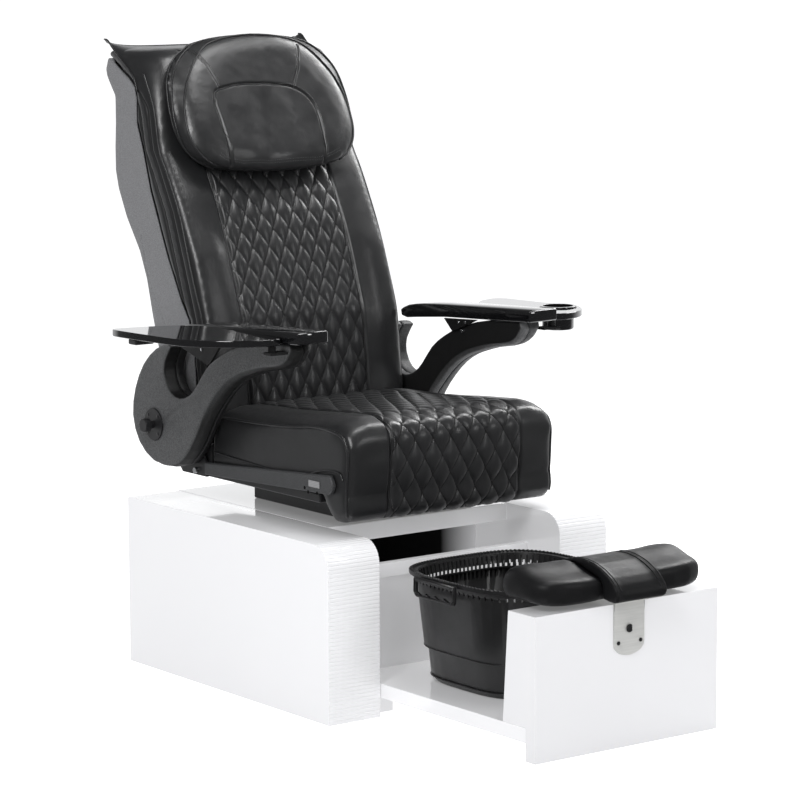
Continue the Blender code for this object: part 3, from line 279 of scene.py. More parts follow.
def leather(name, colour, shine):
    """Soft black leather: pebbled grain, fine creases, polish that wanders."""
    shader = Shader(name, colour, shine)
    shader.set(Specular_IOR_Level=0.60)
    broad = shader.noise(9.0, 4.0)
    shader.tint(broad, 0.75, 1.35)
    shader.rough(shader.noise(26.0, 4.0, 0.6), shine - 0.05, shine + 0.10)
    grain = shader.cells(720.0, "DISTANCE_TO_EDGE")
    shader.bump(shader.ranged(grain, 0.0, 0.22), 0.00010, 0.25)
    shader.bump(shader.noise(85.0, 3.0, 0.6, shader.stretched((1.0, 1.0, 0.45)), 0.6), 0.0006, 0.08)
    return shader.material


def grained_plastic(name, colour, roughness, scale, depth, speckle=1.25, shine=0.5, sides=None):
    """Spark-eroded plastic: a fine random texture that catches light as speckle."""
    shader = Shader(name, colour, roughness)
    shader.set(Specular_IOR_Level=shine)
    fine = shader.noise(scale, 2.0, 0.7)
    shader.tint(shader.ranged(fine, 0.35, 0.65), 2.0 - speckle, speckle)
    shader.rough(shader.noise(40.0), roughness - 0.05, roughness + 0.05)
    shader.bump(fine, depth, 0.6)
    if sides is not None:
        shader.shade_sides(*sides)
    return shader.material


def gloss_black():
    """Piano-black panel with faint polishing haze."""
    shader = Shader("gloss_black", (0.004, 0.004, 0.0045), 0.05)
    shader.set(Coat_Weight=0.6, Coat_Roughness=0.03, Specular_IOR_Level=0.62)
    shader.rough(shader.noise(14.0, 4.0), 0.035, 0.085)
    shader.tint(shader.noise(5.0), 0.8, 1.3)
    shader.bump(shader.noise(7.0, 1.0), 0.0010, 0.01)
    return shader.material


def glowing_white_lacquer(name, colour, roughness, coat):
    """Sprayed white lacquer over board, with a slight orange-peel ripple, and a faint white glow that lifts its
    shaded sides: painted light.
    """
    shader = Shader(name, colour, roughness)
    shader.set(Coat_Weight=coat, Coat_Roughness=0.04, Emission_Strength=0.20,
               Emission_Color=(1.0, 1.0, 1.0, 1.0))
    shader.tint(shader.noise(3.0, 3.0), 0.985, 1.0)
    shader.rough(shader.noise(18.0), roughness - 0.03, roughness + 0.04)
    shader.bump(shader.noise(160.0, 2.0), 0.00012, 0.10)
    return shader.material


def steel(name, colour, roughness, stretch, depth=0.0004, metallic=1.0):
    """Metal with fine straight brushing."""
    shader = Shader(name, colour, roughness, metallic)
    brushed = shader.noise(260.0, 3.0, 0.6, shader.stretched(stretch))
    shader.tint(brushed, 0.82, 1.12)
    shader.rough(brushed, roughness - 0.06, roughness + 0.08)
    shader.bump(brushed, depth, 0.10)
    return shader.material


def powder_coat():
    shader = Shader("black_powder_coat", (0.012, 0.012, 0.013), 0.36)
    peel = shader.noise(520.0, 2.0, 0.6)
    shader.tint(shader.noise(30.0), 0.8, 1.3)
    shader.rough(peel, 0.30, 0.44)
    shader.bump(peel, 0.00016, 0.35)
    return shader.material


def rubber():
    shader = Shader("caster_rubber", (0.20, 0.20, 0.205), 0.60)
    shader.tint(shader.noise(80.0, 4.0), 0.75, 1.15)
    shader.rough(shader.noise(120.0), 0.52, 0.70)
    shader.bump(shader.noise(600.0), 0.0002, 0.3)
    return shader.material


def foam_skin():
    """Self-skinned foam: black, finely pitted, softly shiny."""
    shader = Shader("foam_skin", (0.0065, 0.0065, 0.007), 0.38)
    pits = shader.cells(620.0)
    shader.tint(shader.noise(40.0, 3.0), 0.8, 1.4)
    shader.rough(shader.noise(60.0, 4.0), 0.34, 0.48)
    shader.bump(shader.ranged(pits, 0.1, 0.7), 0.00022, 0.5)
    shader.bump(shader.noise(420.0, 2.0), 0.0003, 0.3)
    shader.set(Specular_IOR_Level=0.16)
    return shader.material


def label_plate():
    shader = Shader("label_grey", (0.23, 0.23, 0.235), 0.45)
    rows = shader.node("ShaderNodeTexWave", bands_direction="Z")
    shader.feed(rows.inputs["Vector"], shader.place)
    rows.inputs["Scale"].default_value = 95.0
    shader.tint(shader.ranged(rows.outputs["Fac"], 0.75, 0.9), 1.0, 0.7)
    shader.bump(shader.noise(300.0), 0.0001, 0.2)
    return shader.material


def bay_shade():
    """Painted shade on the bay's inner sides: white lacquer near the mouth, darkening to near black deeper in."""
    shader = Shader("bay_shade", (0.95, 0.95, 0.96), 0.35)
    shader.set(Specular_IOR_Level=0.25)
    deep = shader.node("ShaderNodeSeparateXYZ")
    shader.feed(deep.inputs[0], shader.place)
    mouth, black = place(0.0, 0.300, 0.0).y, place(0.0, 0.430, 0.0).y
    shader.tint(shader.ranged(deep.outputs["Y"], mouth, black), 1.0, 0.004)
    shader.rough(shader.noise(30.0), 0.30, 0.45)
    shader.bump(shader.noise(160.0, 2.0), 0.0001, 0.1)
    return shader.material


CHARCOAL = (0.056, 0.057, 0.059)
NEAR_BLACK = (0.008, 0.008, 0.0085)

# Grained plastics: colour, roughness, grain's scale and depth, then speckle, shine and painted side light and
# shade
PLASTICS = {
    "black_board": ((0.003, 0.003, 0.003), 0.7, 300.0, 0.0002, 1.25, 0.1),
    "bucket_plastic": ((0.0075, 0.0075, 0.008), 0.36, 60.0, 0.00001, 1.1),
    "charcoal_plastic": ((0.038, 0.039, 0.041), 0.50, 480.0, 0.0004, 1.4),
    "shell_grey": ((0.150, 0.151, 0.157), 0.55, 480.0, 0.0004, 1.35),
    # The arms' shells are mirror twins, shaded differently left and right: painted light and shade. Here the edge
    # band is darkened to a tenth: painted shade.
    "left_arm_outer": (CHARCOAL, 0.52, 480.0, 0.0004, 1.55, 0.5, (0.10, 1.0)),
    "left_arm_inner": (NEAR_BLACK, 0.50, 430.0, 0.0004, 1.5),
    "right_arm_outer": (CHARCOAL, 0.52, 480.0, 0.0004, 1.55),
    # Grey on the edge band and darkened to near black on the side faces: painted light on the band, painted shade
    # on the faces.
    "right_arm_inner": ((0.095, 0.096, 0.099), 0.52, 480.0, 0.0004, 1.4, 0.5, (1.0, 0.07)),
    "arm_inner_black": (NEAR_BLACK, 0.50, 430.0, 0.0004, 1.5, 0.3),
    # Grey thread for the stitches: partly its own colour, partly a painted highlight on the stitch rows.
    "thread_grey": ((0.10, 0.10, 0.102), 0.60, 300.0, 0.0001),
}


def make_materials():
    return {name: grained_plastic(name, *values) for name, values in PLASTICS.items()} | {
        # Every white below glows faintly: painted light.
        "white_gloss": glowing_white_lacquer("white_gloss", (0.60, 0.60, 0.615), 0.14, 0.7),
        # The drawer front is a darker copy of the same white, so that it reads darker than the deck's edge:
        # painted shade.
        "white_front_shaded": glowing_white_lacquer("white_front_shaded", (0.53, 0.53, 0.545), 0.12, 0.8),
        "white_edge": glowing_white_lacquer("white_edge", (0.62, 0.62, 0.63), 0.35, 0.1),
        "bay_shade": bay_shade(),
        "leather": leather("leather_black", (0.0115, 0.0117, 0.0124), 0.33),
        # Near-black cords laid in the quilt's grooves: painted shade.
        "quilt_seam_shade": leather("quilt_seam_shade", (0.0012, 0.0012, 0.0013), 0.62),
        "foam_skin": foam_skin(),
        "gloss_black": gloss_black(),
        "black_steel": powder_coat(),
        "zinc_steel": steel("zinc_steel", (0.50, 0.51, 0.53), 0.34, (1.0, 0.06, 1.0)),
        "brushed_steel": steel("brushed_steel", (0.58, 0.58, 0.565), 0.38, (0.05, 1.0, 1.0), metallic=0.3),
        "chrome": steel("chrome", (0.74, 0.75, 0.77), 0.10, (1.0, 1.0, 1.0), 0.0001),
        "caster_tyre": rubber(),
        "label_grey": label_plate(),
    }


# ---------------------------------------------------------------- mesh helpers

# Edges that turn by more than this many degrees are kept sharp and bevelled
CREASE = 32.0
WELD = 0.00002


def new_piece(name, bm, body, slot_name, *nodes, smooth=True, sharp=None, look=None):
    """Put a mesh in the scene as a piece that rides on body, with that slot's material."""
    mesh = bpy.data.meshes.new(name)
    bm.to_mesh(mesh)
    bm.free()
    piece = bpy.data.objects.new(name, mesh)
    bpy.context.scene.collection.objects.link(piece)
    if smooth:
        mesh.shade_smooth()
    if sharp is not None:
        mesh.set_sharp_from_angle(angle=math.radians(sharp))
    mesh.materials.append(MATERIALS[look or slot_name])
    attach(piece, body)
    if nodes:
        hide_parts(*nodes)
    return piece


def node_bm(node):
    """The node's shape as a bmesh of flat faces, its facets joined where they are coplanar."""
    bm = bmesh.new()
    bm.from_mesh(NODES[node].data)
    bmesh.ops.remove_doubles(bm, verts=bm.verts, dist=WELD)
    bmesh.ops.dissolve_limit(bm, angle_limit=math.radians(0.6), verts=bm.verts, edges=bm.edges)
    return bm


def keep_result(piece):
    """Bake the piece's modifiers into its mesh."""
    graph = bpy.context.evaluated_depsgraph_get()
    baked = bpy.data.meshes.new_from_object(piece.evaluated_get(graph))
    piece.modifiers.clear()
    old = piece.data
    piece.data = baked
    bpy.data.meshes.remove(old)


def round_edges(piece, width, segments, angle):
    """Bevel the edges that turn by more than angle."""
    edge = piece.modifiers.new("edge", "BEVEL")
    edge.width = width
    edge.segments = segments
    edge.limit_method = "ANGLE"
    edge.angle_limit = math.radians(angle)
    edge.harden_normals = True


def dress(node, slot_name, width, segments=3, look=None):
    """The node's own shape with finer rounded edges, in its own material."""
    piece = new_piece(node + ".skin", node_bm(node), BODY_OF[node], slot_name, node, sharp=CREASE, look=look)
    round_edges(piece, width, segments, CREASE)


def add_block(bm, low, high):
    """Add a box between two corners to the mesh."""
    matrix = Matrix.Translation((low + high) / 2) @ Matrix.Diagonal((*(high - low), 1.0))
    bmesh.ops.create_cube(bm, size=1.0, matrix=matrix)


def combine(pieces, bm, operation):
    """Cut the mesh out of the pieces, or join it to them."""
    mesh = bpy.data.meshes.new("tool")
    bm.to_mesh(mesh)
    bm.free()
    tool = bpy.data.objects.new("tool", mesh)
    bpy.context.scene.collection.objects.link(tool)
    for piece in pieces:
        boolean = piece.modifiers.new("combine", "BOOLEAN")
        boolean.operation = operation
        boolean.solver = "EXACT"
        boolean.object = tool
        keep_result(piece)
    bpy.data.objects.remove(tool)


def bridge(bm, near, far):
    """Faces between two rings of as many vertices."""
    for k in range(len(near)):
        bm.faces.new((near[k - 1], near[k], far[k], far[k - 1]))


def remould(node, slot_name, voxel, rounds, name=None, levels=0, look=None):
    """The node's shape as one smooth skin, its facets melted together."""
    bm = bmesh.new()
    bm.from_mesh(NODES[node].data)
    bmesh.ops.remove_doubles(bm, verts=bm.verts, dist=WELD)
    piece = new_piece(name or node + ".skin", bm, BODY_OF[node], slot_name, node, look=look)
    skin = piece.modifiers.new("skin", "REMESH")
    skin.mode = "VOXEL"
    skin.voxel_size = voxel
    skin.use_smooth_shade = True
    melt = piece.modifiers.new("melt", "SMOOTH")
    melt.factor = 0.5
    melt.iterations = rounds
    keep_result(piece)
    if levels:
        subdivide(piece, levels)
    return piece


def points_of(mesh):
    co = np.empty(len(mesh.vertices) * 3, np.float32)
    mesh.vertices.foreach_get("co", co)
    return co.reshape(-1, 3).astype(float)


def normals_of(mesh):
    normals = np.empty(len(mesh.vertices) * 3, np.float32)
    mesh.vertices.foreach_get("normal", normals)
    return normals.reshape(-1, 3).astype(float)


def set_points(mesh, points):
    mesh.vertices.foreach_set("co", points.astype(np.float32).ravel())
    mesh.update()


def shape_of(piece):
    return points_of(piece.data), normals_of(piece.data)


def push(piece, amounts):
    """Move every vertex along its own normal by its amount."""
    points, normals = shape_of(piece)
    set_points(piece.data, points + normals * amounts[:, None])


def ramp(values, low, high):
    """0 below low, 1 above high, smooth between."""
    t = np.clip((values - low) / (high - low), 0.0, 1.0)
    return t * t * (3.0 - 2.0 * t)


def groove(distance, width):
    return np.exp(-(distance / width) ** 2)


def softened(mesh, values, rounds):
    """Values on the vertices, each blended with its neighbours' so only broad swells remain."""
    ends = np.empty(len(mesh.edges) * 2, np.int32)
    mesh.edges.foreach_get("vertices", ends)
    near, far = ends[0::2], ends[1::2]
    count = np.bincount(near, minlength=len(values)) + np.bincount(far, minlength=len(values))
    for _ in range(rounds):
        total = np.bincount(near, values[far], len(values)) + np.bincount(far, values[near], len(values))
        values = 0.4 * values + 0.6 * total / np.maximum(count, 1)
    return values


def inflate(piece, cap, held, pressure=4.0, steps=20):
    """Fill the cover as a cushion fills: cloth under pressure, each point moving at most cap.
    held is 1 where the cover rests on something hard and stays where it is."""
    scene = bpy.context.scene
    rest = points_of(piece.data)
    cloth = piece.modifiers.new("Cloth", "CLOTH")
    cloth.settings.quality = 4
    cloth.settings.use_pressure = True
    cloth.settings.uniform_pressure_force = pressure
    cloth.settings.effector_weights.gravity = 0.0
    cloth.collision_settings.use_collision = False
    scene.frame_start, scene.frame_end = 1, steps
    for step in range(1, steps + 1):
        scene.frame_set(step)
    graph = bpy.context.evaluated_depsgraph_get()
    filled = points_of(piece.evaluated_get(graph).data)
    piece.modifiers.clear()
    scene.frame_set(1)
    normals = normals_of(piece.data)
    outward = np.sum((filled - rest) * normals, axis=1)
    rise = softened(piece.data, np.clip(outward, 0.0, cap), 24) * (1.0 - held)
    set_points(piece.data, rest + normals * rise[:, None])


def subdivide(piece, levels=1):
    fine = piece.modifiers.new("fine", "SUBSURF")
    fine.levels = levels
    fine.render_levels = levels
    keep_result(piece)
    piece.data.shade_smooth()


def along(points, line):
    """Arc length along a polyline of the nearest place to each point, in the line's plane."""
    line = np.array(line, float)
    starts, ends = line[:-1], line[1:]
    lengths = np.linalg.norm(ends - starts, axis=1)
    before = np.concatenate([[0.0], np.cumsum(lengths)[:-1]])
    best = np.full(len(points), 1e9)
    found = np.zeros(len(points))
    for start, end, length, base in zip(starts, ends, lengths, before):
        unit = (end - start) / length
        t = np.clip((points - start) @ unit, 0.0, length)
        gap = np.linalg.norm(points - start - t[:, None] * unit, axis=1)
        nearer = gap < best
        best[nearer] = gap[nearer]
        found[nearer] = base + t[nearer]
    return found


def segment_distance(points, line):
    """Distance from each point to a polyline in the same plane or space."""
    line = np.array(line, float)
    best = np.full(len(points), 1e9)
    for start, end in zip(line[:-1], line[1:]):
        unit = end - start
        t = np.clip((points - start) @ unit / (unit @ unit), 0.0, 1.0)
        best = np.minimum(best, np.linalg.norm(points - start - t[:, None] * unit, axis=1))
    return best


def curve_through(points, steps=8):
    """A smooth line through the points (Catmull-Rom)."""
    points = [Vector(p) for p in points]
    padded = [2 * points[0] - points[1]] + points + [2 * points[-1] - points[-2]]
    line = []
    for a, b, c, d in zip(padded, padded[1:], padded[2:], padded[3:]):
        for i in range(steps):
            t = i / steps
            line.append(0.5 * ((2 * b) + (c - a) * t + (2 * a - 5 * b + 4 * c - d) * t * t
                               + (3 * b - a - 3 * c + d) * t * t * t))
    return line + [points[-1]]


def surface_of(piece):
    mesh = piece.data
    return BVHTree.FromPolygons([v.co for v in mesh.vertices], [tuple(p.vertices) for p in mesh.polygons])


def laid_on(surface, line, lift):
    """The line moved onto the surface, and lift above it."""
    laid = []
    for point in line:
        place_, normal, _, _ = surface.find_nearest(point)
        laid.append((place_ + normal * lift, normal))
    return laid


def add_tube(bm, points, radius, closed=False, count=8):
    """Add a round cord along points to the mesh."""
    rings = []
    last = len(points) - 1
    side = None
    for i, point in enumerate(points):
        before = points[(i - 1) % len(points)] if closed or i else point
        after = points[(i + 1) % len(points)] if closed or i < last else point
        tangent = (after - before).normalized()
        if side is None:
            side = tangent.orthogonal().normalized()
        side = (side - tangent * side.dot(tangent)).normalized()
        up = tangent.cross(side)
        rings.append([bm.verts.new(point + radius * (math.cos(a) * side + math.sin(a) * up))
                      for a in (2 * math.pi * k / count for k in range(count))])
    for near, far in zip(rings, rings[1:]):
        bridge(bm, near, far)
    if closed:
        bridge(bm, rings[-1], rings[0])
    else:
        bm.faces.new(rings[0][::-1])
        bm.faces.new(rings[-1])
    bmesh.ops.recalc_face_normals(bm, faces=bm.faces)


def tube(name, points, radius, body, slot_name, closed=False):
    """A round cord along points, as a piece of its own."""
    bm = bmesh.new()
    add_tube(bm, points, radius, closed)
    return new_piece(name, bm, body, slot_name)


def piping(name, surface, points, body, radius=0.0022, lift=0.0008, steps=14, slot_name="leather", rounds=4):
    """A covered cord sewn into a seam, following the surface."""
    line = [p for p, _ in laid_on(surface, curve_through(points, steps), lift)]
    for _ in range(rounds):
        line[1:-1] = [(a + 2 * b + c) / 4 for a, b, c in zip(line, line[1:], line[2:])]
    return tube(name, line, radius, body, slot_name)


def stitches(name, surface, points, body, pitch=0.0052, length=0.0034, radius=0.00045, offset=0.0):
    """A row of thread stitches lying along a line on the surface."""
    line = curve_through(points, 24)
    bm = bmesh.new()
    travelled, due = 0.0, pitch / 2
    for start, end in zip(line, line[1:]):
        run = (end - start).length
        while due <= travelled + run and run > 0:
            middle = start.lerp(end, (due - travelled) / run)
            place_, normal, _, _ = surface.find_nearest(middle)
            tangent = (end - start).normalized()
            tangent = (tangent - normal * tangent.dot(normal)).normalized()
            across = normal.cross(tangent)
            centre = place_ + across * offset + normal * radius * 0.4
            spin = Matrix((tangent, across, normal)).transposed().to_4x4()
            size = Matrix.Diagonal((length / 2, radius, radius, 1.0))
            bmesh.ops.create_icosphere(bm, subdivisions=1, radius=1.0,
                                       matrix=Matrix.Translation(centre) @ spin @ size)
            due += pitch
        travelled += run
    return new_piece(name, bm, body, "leather", look="thread_grey")


def quilt_seams(name, surface, line, x_range, origin, width, body):
    """A thin sunken cord, near black, along every seam between the diamonds of a quilted panel: painted shade in
    the seams' grooves.
    line is the panel's lengthwise section; origin is a crossing of seams, as x and as length along line."""
    line = np.array(line, float)
    reached = np.concatenate([[0.0], np.cumsum(np.linalg.norm(np.diff(line, axis=0), axis=1))])
    x = np.linspace(*x_range, 48)
    bm = bmesh.new()
    for slope in (-1.0, 1.0):
        for row in range(-30, 31):
            s = origin[1] + slope * DIAMOND_HEIGHT * ((x - origin[0]) / width - row)
            inside = (s > 0.0) & (s < reached[-1])
            if np.count_nonzero(inside) > 2:
                y, z = (np.interp(s[inside], reached, line[:, k]) for k in (0, 1))
                seam = [Vector(point) for point in zip(x[inside], y, z)]
                add_tube(bm, [p for p, _ in laid_on(surface, seam, SEAM_LIFT)], SEAM_RADIUS, count=6)
    return new_piece(name, bm, body, "leather", look="quilt_seam_shade")


def puffs(a, b, height, sharpness=0.34):
    """Quilted diamonds: flat at the seams where a or b is whole, full between them."""
    return height * np.abs(np.sin(math.pi * a) * np.sin(math.pi * b)) ** sharpness


def wander(points, scale, seed):
    """Slow smooth variation over the points, from -1 to 1."""
    shift = Vector((seed * 7.13, seed * 3.71, seed * 5.37))
    return np.array([noise.noise(Vector(p) * scale + shift) for p in points])


# A stud's outline, as shares of its radius and of its depth, and the height of its crown
STUD_PROFILE = [(1.0, 0.0), (1.0, 0.55), (0.86, 0.86), (0.5, 1.0)]
STUD_CROWN = 1.075
STUD_SIDES = 20


def studs(name, centres, axis, radius, depth, body, slot_name, look=None, crown=STUD_CROWN):
    """Round domed heads, in one piece, each with its face towards axis."""
    bm = bmesh.new()
    turn = Vector(axis).to_track_quat("Z", "Y").to_matrix().to_4x4()
    for centre in centres:
        at = Matrix.Translation(centre) @ turn
        rings = [[bm.verts.new(at @ Vector((radius * r * math.cos(t), radius * r * math.sin(t), depth * h)))
                  for t in (2 * math.pi * k / STUD_SIDES for k in range(STUD_SIDES))]
                 for r, h in STUD_PROFILE]
        for near, far in zip(rings, rings[1:]):
            bridge(bm, near, far)
        tip = bm.verts.new(at @ Vector((0.0, 0.0, depth * crown)))
        for k in range(STUD_SIDES):
            bm.faces.new((rings[-1][k - 1], rings[-1][k], tip))
        bm.faces.new(rings[0][::-1])
    return new_piece(name, bm, body, slot_name, sharp=50.0, look=look)


# ---------------------------------------------------------------- seat cushion

CUSHION_VOXEL = 0.0085
PILLOW_VOXEL = 0.0065

DIAMOND_WIDTH = 0.048
DIAMOND_HEIGHT = 0.080
SEAT_SEAM_LEFT, SEAT_SEAM_RIGHT = -0.170, 0.182
# The piped edges of the seat's sides, round its top and along its foot
SEAT_RIM = [(0.585, 0.583), (0.400, 0.588), (0.300, 0.592), (0.200, 0.605), (0.118, 0.600), (0.082, 0.588),
            (0.069, 0.560), (0.068, 0.530), (0.074, 0.470), (0.072, 0.420)]
SEAT_FOOT = [(0.580, 0.500), (0.400, 0.492), (0.250, 0.490), (0.160, 0.512), (0.100, 0.516), (0.084, 0.500)]
# A crossing of the quilt's seams, as length along the seat's section
SEAT_CROSSING = 0.560
SEAT_PUFF = 0.0060
PANEL_SINK = 0.002
SEAM_LIFT = 0.0004
SEAM_RADIUS = 0.0009


def seat_line():
    """The seat's lengthwise section, from the rear of its top round its nose to its apron."""
    return [place(0.0, y, z).yz for y, z in ((0.590, 0.596), (0.400, 0.604), (0.240, 0.616), (0.118, 0.622),
                                             (0.074, 0.612), (0.057, 0.585), (0.062, 0.530), (0.070, 0.470),
                                             (0.064, 0.430), (0.082, 0.406))]


def make_seat():
    cover = remould("seat_cushion", "leather", CUSHION_VOXEL, 8, "seat_cushion.cover")
    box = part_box("seat_cushion")
    points = points_of(cover.data)
    pan_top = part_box("seat_frame")[1].z
    held = 1.0 - ramp(points[:, 2], pan_top - 0.02, pan_top + 0.03)
    held = np.maximum(held, ramp(points[:, 1], box[1].y - 0.020, box[1].y - 0.002))
    inflate(cover, 0.007, held)
    push(cover, -0.0005 * (1.0 - held))
    subdivide(cover, 2)
    points, normal = shape_of(cover)
    x = points[:, 0]
    s = along(points[:, 1:], seat_line())
    panel = ramp(x, SEAT_SEAM_LEFT, SEAT_SEAM_LEFT + 0.006)
    panel *= 1.0 - ramp(x, SEAT_SEAM_RIGHT - 0.006, SEAT_SEAM_RIGHT)
    panel *= ramp(np.maximum(normal[:, 2], -normal[:, 1]), 0.25, 0.55)
    across, down = (x - SEAT_SEAM_RIGHT) / DIAMOND_WIDTH, (s - SEAT_CROSSING) / DIAMOND_HEIGHT
    amount = panel * (puffs(across + down, across - down, SEAT_PUFF) - PANEL_SINK)
    edge = np.minimum(np.abs(x - SEAT_SEAM_LEFT), np.abs(x - SEAT_SEAM_RIGHT))
    facing = ramp(np.maximum(normal[:, 2], -normal[:, 1]), 0.2, 0.6)
    amount -= 0.0050 * groove(edge, 0.0045) * facing
    amount += 0.0013 * wander(points, 8.0, 3) * facing * (1.0 - panel)
    push(cover, amount)

    surface = surface_of(cover)
    quilt_seams("seat_panel.seam_shade", surface, seat_line(), (SEAT_SEAM_LEFT + 0.004, SEAT_SEAM_RIGHT - 0.004),
                (SEAT_SEAM_RIGHT, SEAT_CROSSING), DIAMOND_WIDTH, "seat")
    for name, x_at in (("left", SEAT_SEAM_LEFT), ("right", SEAT_SEAM_RIGHT)):
        line = [Vector((x_at, *p)) for p in seat_line()[:-1]]
        piping("seat_" + name + "_panel.piping", surface, line, "seat", 0.0019, 0.0006)
        for row, offset in (("inner", 0.0045), ("outer", -0.0045)):
            stitches("seat_" + name + "_panel.stitch_" + row, surface, line, "seat", offset=offset)
    for name, x_at in (("left", box[0].x), ("right", box[1].x)):
        rim, foot = [[place(x_at, y, z) for y, z in line] for line in (SEAT_RIM, SEAT_FOOT)]
        piping("seat_" + name + "_edge.piping", surface, rim, "seat", 0.0030, 0.0012)
        piping("seat_" + name + "_foot.piping", surface, foot, "seat", 0.0022, 0.0010)


def make_seat_skirt():
    """The leather that closes the gap behind the seat, over its pan."""
    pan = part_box("seat_frame")
    bm = bmesh.new()
    add_block(bm, Vector((pan[0].x + 0.003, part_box("seat_cushion")[1].y + 0.001, pan[1].z + 0.0005)),
              Vector((pan[1].x - 0.003, pan[1].y - 0.006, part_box("back_cushion")[0].z - 0.004)))
    bmesh.ops.bevel(bm, geom=bm.edges[:], offset=0.006, segments=3, affect="EDGES", profile=0.5)
    new_piece("seat_rear.skirt", bm, "seat", "leather")


# ---------------------------------------------------------------- back cushion

BACK_SEAM = 0.165
BACK_DIAMOND_WIDTH = 0.0440
BACK_CROSSING = 0.030
BACK_PUFF = 0.0076


def back_line():
    """The back's lengthwise section, from its foot to its crown."""
    return [place(0.0, y, z).yz for y, z in ((0.606, 0.520), (0.605, 0.597), (0.617, 0.700), (0.628, 0.784),
                                             (0.658, 0.864), (0.678, 0.918), (0.718, 1.022), (0.764, 1.105),
                                             (0.798, 1.160), (0.818, 1.255), (0.845, 1.336), (0.894, 1.380))]


def make_back():
    cover = remould("back_cushion", "leather", CUSHION_VOXEL, 7, "back_cushion.cover")
    points, normal = shape_of(cover)
    held = ramp(normal[:, 1], 0.2, 0.6)
    inflate(cover, 0.006, held)
    push(cover, 0.0005 * (1.0 - held))
    subdivide(cover, 2)
    points, normal = shape_of(cover)
    x, z = points[:, 0], points[:, 2]
    s = along(points[:, 1:], back_line())
    front = ramp(-normal[:, 1], 0.25, 0.6)
    panel = (1.0 - ramp(np.abs(x), BACK_SEAM - 0.006, BACK_SEAM)) * front
    across, down = (x - BACK_SEAM) / BACK_DIAMOND_WIDTH, (s - BACK_CROSSING) / DIAMOND_HEIGHT
    amount = panel * (puffs(across + down, across - down, BACK_PUFF) - PANEL_SINK)
    amount -= 0.0055 * groove(np.abs(x) - BACK_SEAM, 0.0045) * front
    bolster = ramp(np.abs(x), BACK_SEAM, BACK_SEAM + 0.01) * front
    amount += 0.0010 * wander(points, 7.0, 11) * bolster
    depth = points[:, 1] - np.interp(z, [p[1] for p in back_line()], [p[0] for p in back_line()])
    flank = ramp(np.abs(normal[:, 0]), 0.5, 0.85)
    for seam_depth, width, cut in ((0.030, 0.0040, 0.0035), (0.062, 0.0045, 0.0050)):
        amount -= cut * groove(depth - seam_depth - 0.22 * ramp(z, 1.24, 1.5), width) * flank
    gathers = np.sin(z * 230.0 + 3.0 * wander(points, 6.0, 14))
    amount += 0.0004 * gathers * flank * groove(depth - 0.046, 0.014)
    push(cover, amount)

    surface = surface_of(cover)
    quilt_seams("back_panel.seam_shade", surface, back_line(), (0.004 - BACK_SEAM, BACK_SEAM - 0.004),
                (BACK_SEAM, BACK_CROSSING), BACK_DIAMOND_WIDTH, "back")
    for name, side in (("left", -1.0), ("right", 1.0)):
        line = [Vector((side * BACK_SEAM, *p)) for p in back_line()[:-1]]
        piping("back_" + name + "_panel.piping", surface, line, "back", 0.0020, 0.0008)
        for row, offset in (("inner", 0.0050), ("outer", -0.0050)):
            stitches("back_" + name + "_panel.stitch_" + row, surface, line, "back", offset=offset)
        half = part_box("back_cushion")[1].x
        rim, hem = [[Vector((side * half, y + inset + 0.22 * max(0.0, z - 1.24), z))
                     for y, z in back_line()[1:-1]] for inset in (0.004, 0.048)]
        piping("back_" + name + "_edge.piping", surface, rim, "back", 0.0022, 0.0008)
        stitches("back_" + name + "_edge.stitch", surface, hem, "back")


# The hood's side edge, from the cushion's shoulder up to its rear tip, and its middle line
HOOD_EDGE = [(0.885, 1.2885), (0.898, 1.316), (0.9205, 1.338), (0.946, 1.356), (0.969, 1.371), (0.990, 1.386),
             (1.010, 1.402), (1.024, 1.404)]
HOOD_MIDDLE = [(0.836, 1.338), (0.848, 1.356), (0.872, 1.372), (0.905, 1.382), (0.940, 1.3835),
               (0.975, 1.3835), (1.008, 1.3835), (1.034, 1.3835)]
HOOD_THICKNESS = 0.0030


def make_hood():
    """The leather cover that rolls over the top of the back and ends in a stiff rear lip."""
    across, steps = 60, 6
    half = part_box("back_cushion")[1].x + 0.001
    edge = curve_through([place(0.0, *p) for p in HOOD_EDGE], steps)
    middle = curve_through([place(0.0, *p) for p in HOOD_MIDDLE], steps)
    upper, lower = [], []
    for near, far in zip(edge, middle):
        row = []
        for k in range(across + 1):
            x = -half + 2 * half * k / across
            share = (1.0 - (abs(x) / half) ** 5.0) ** 0.6
            point = near.lerp(far, share)
            sag = 0.0015 * math.sin(9.0 * x + 2.0) * share
            row.append(Vector((x, point.y, point.z + 0.0012 + sag)))
        upper.append(row)
        lower.append([point - Vector((0.0, 0.0, HOOD_THICKNESS)) for point in row])
    bm = bmesh.new()
    rings = [[bm.verts.new(p) for p in above + below[::-1]] for above, below in zip(upper, lower)]
    for near, far in zip(rings, rings[1:]):
        bridge(bm, near, far)
    for ring in (rings[0], rings[-1]):
        for k in range(across):
            bm.faces.new((ring[k], ring[k + 1], ring[-2 - k], ring[-1 - k]))
    bmesh.ops.recalc_face_normals(bm, faces=bm.faces)
    cover = new_piece("back_top_flap.cover", bm, "back", "leather", "back_top_flap")
    subdivide(cover)
    tube("back_top_flap.lip", upper[-1][1:-1], 0.0021, "back", "leather")
    for name, k in (("left", 0), ("right", across)):
        tube("back_top_flap." + name + "_piping", [row[k] for row in upper], 0.0019, "back", "leather")


# ---------------------------------------------------------------- pillow

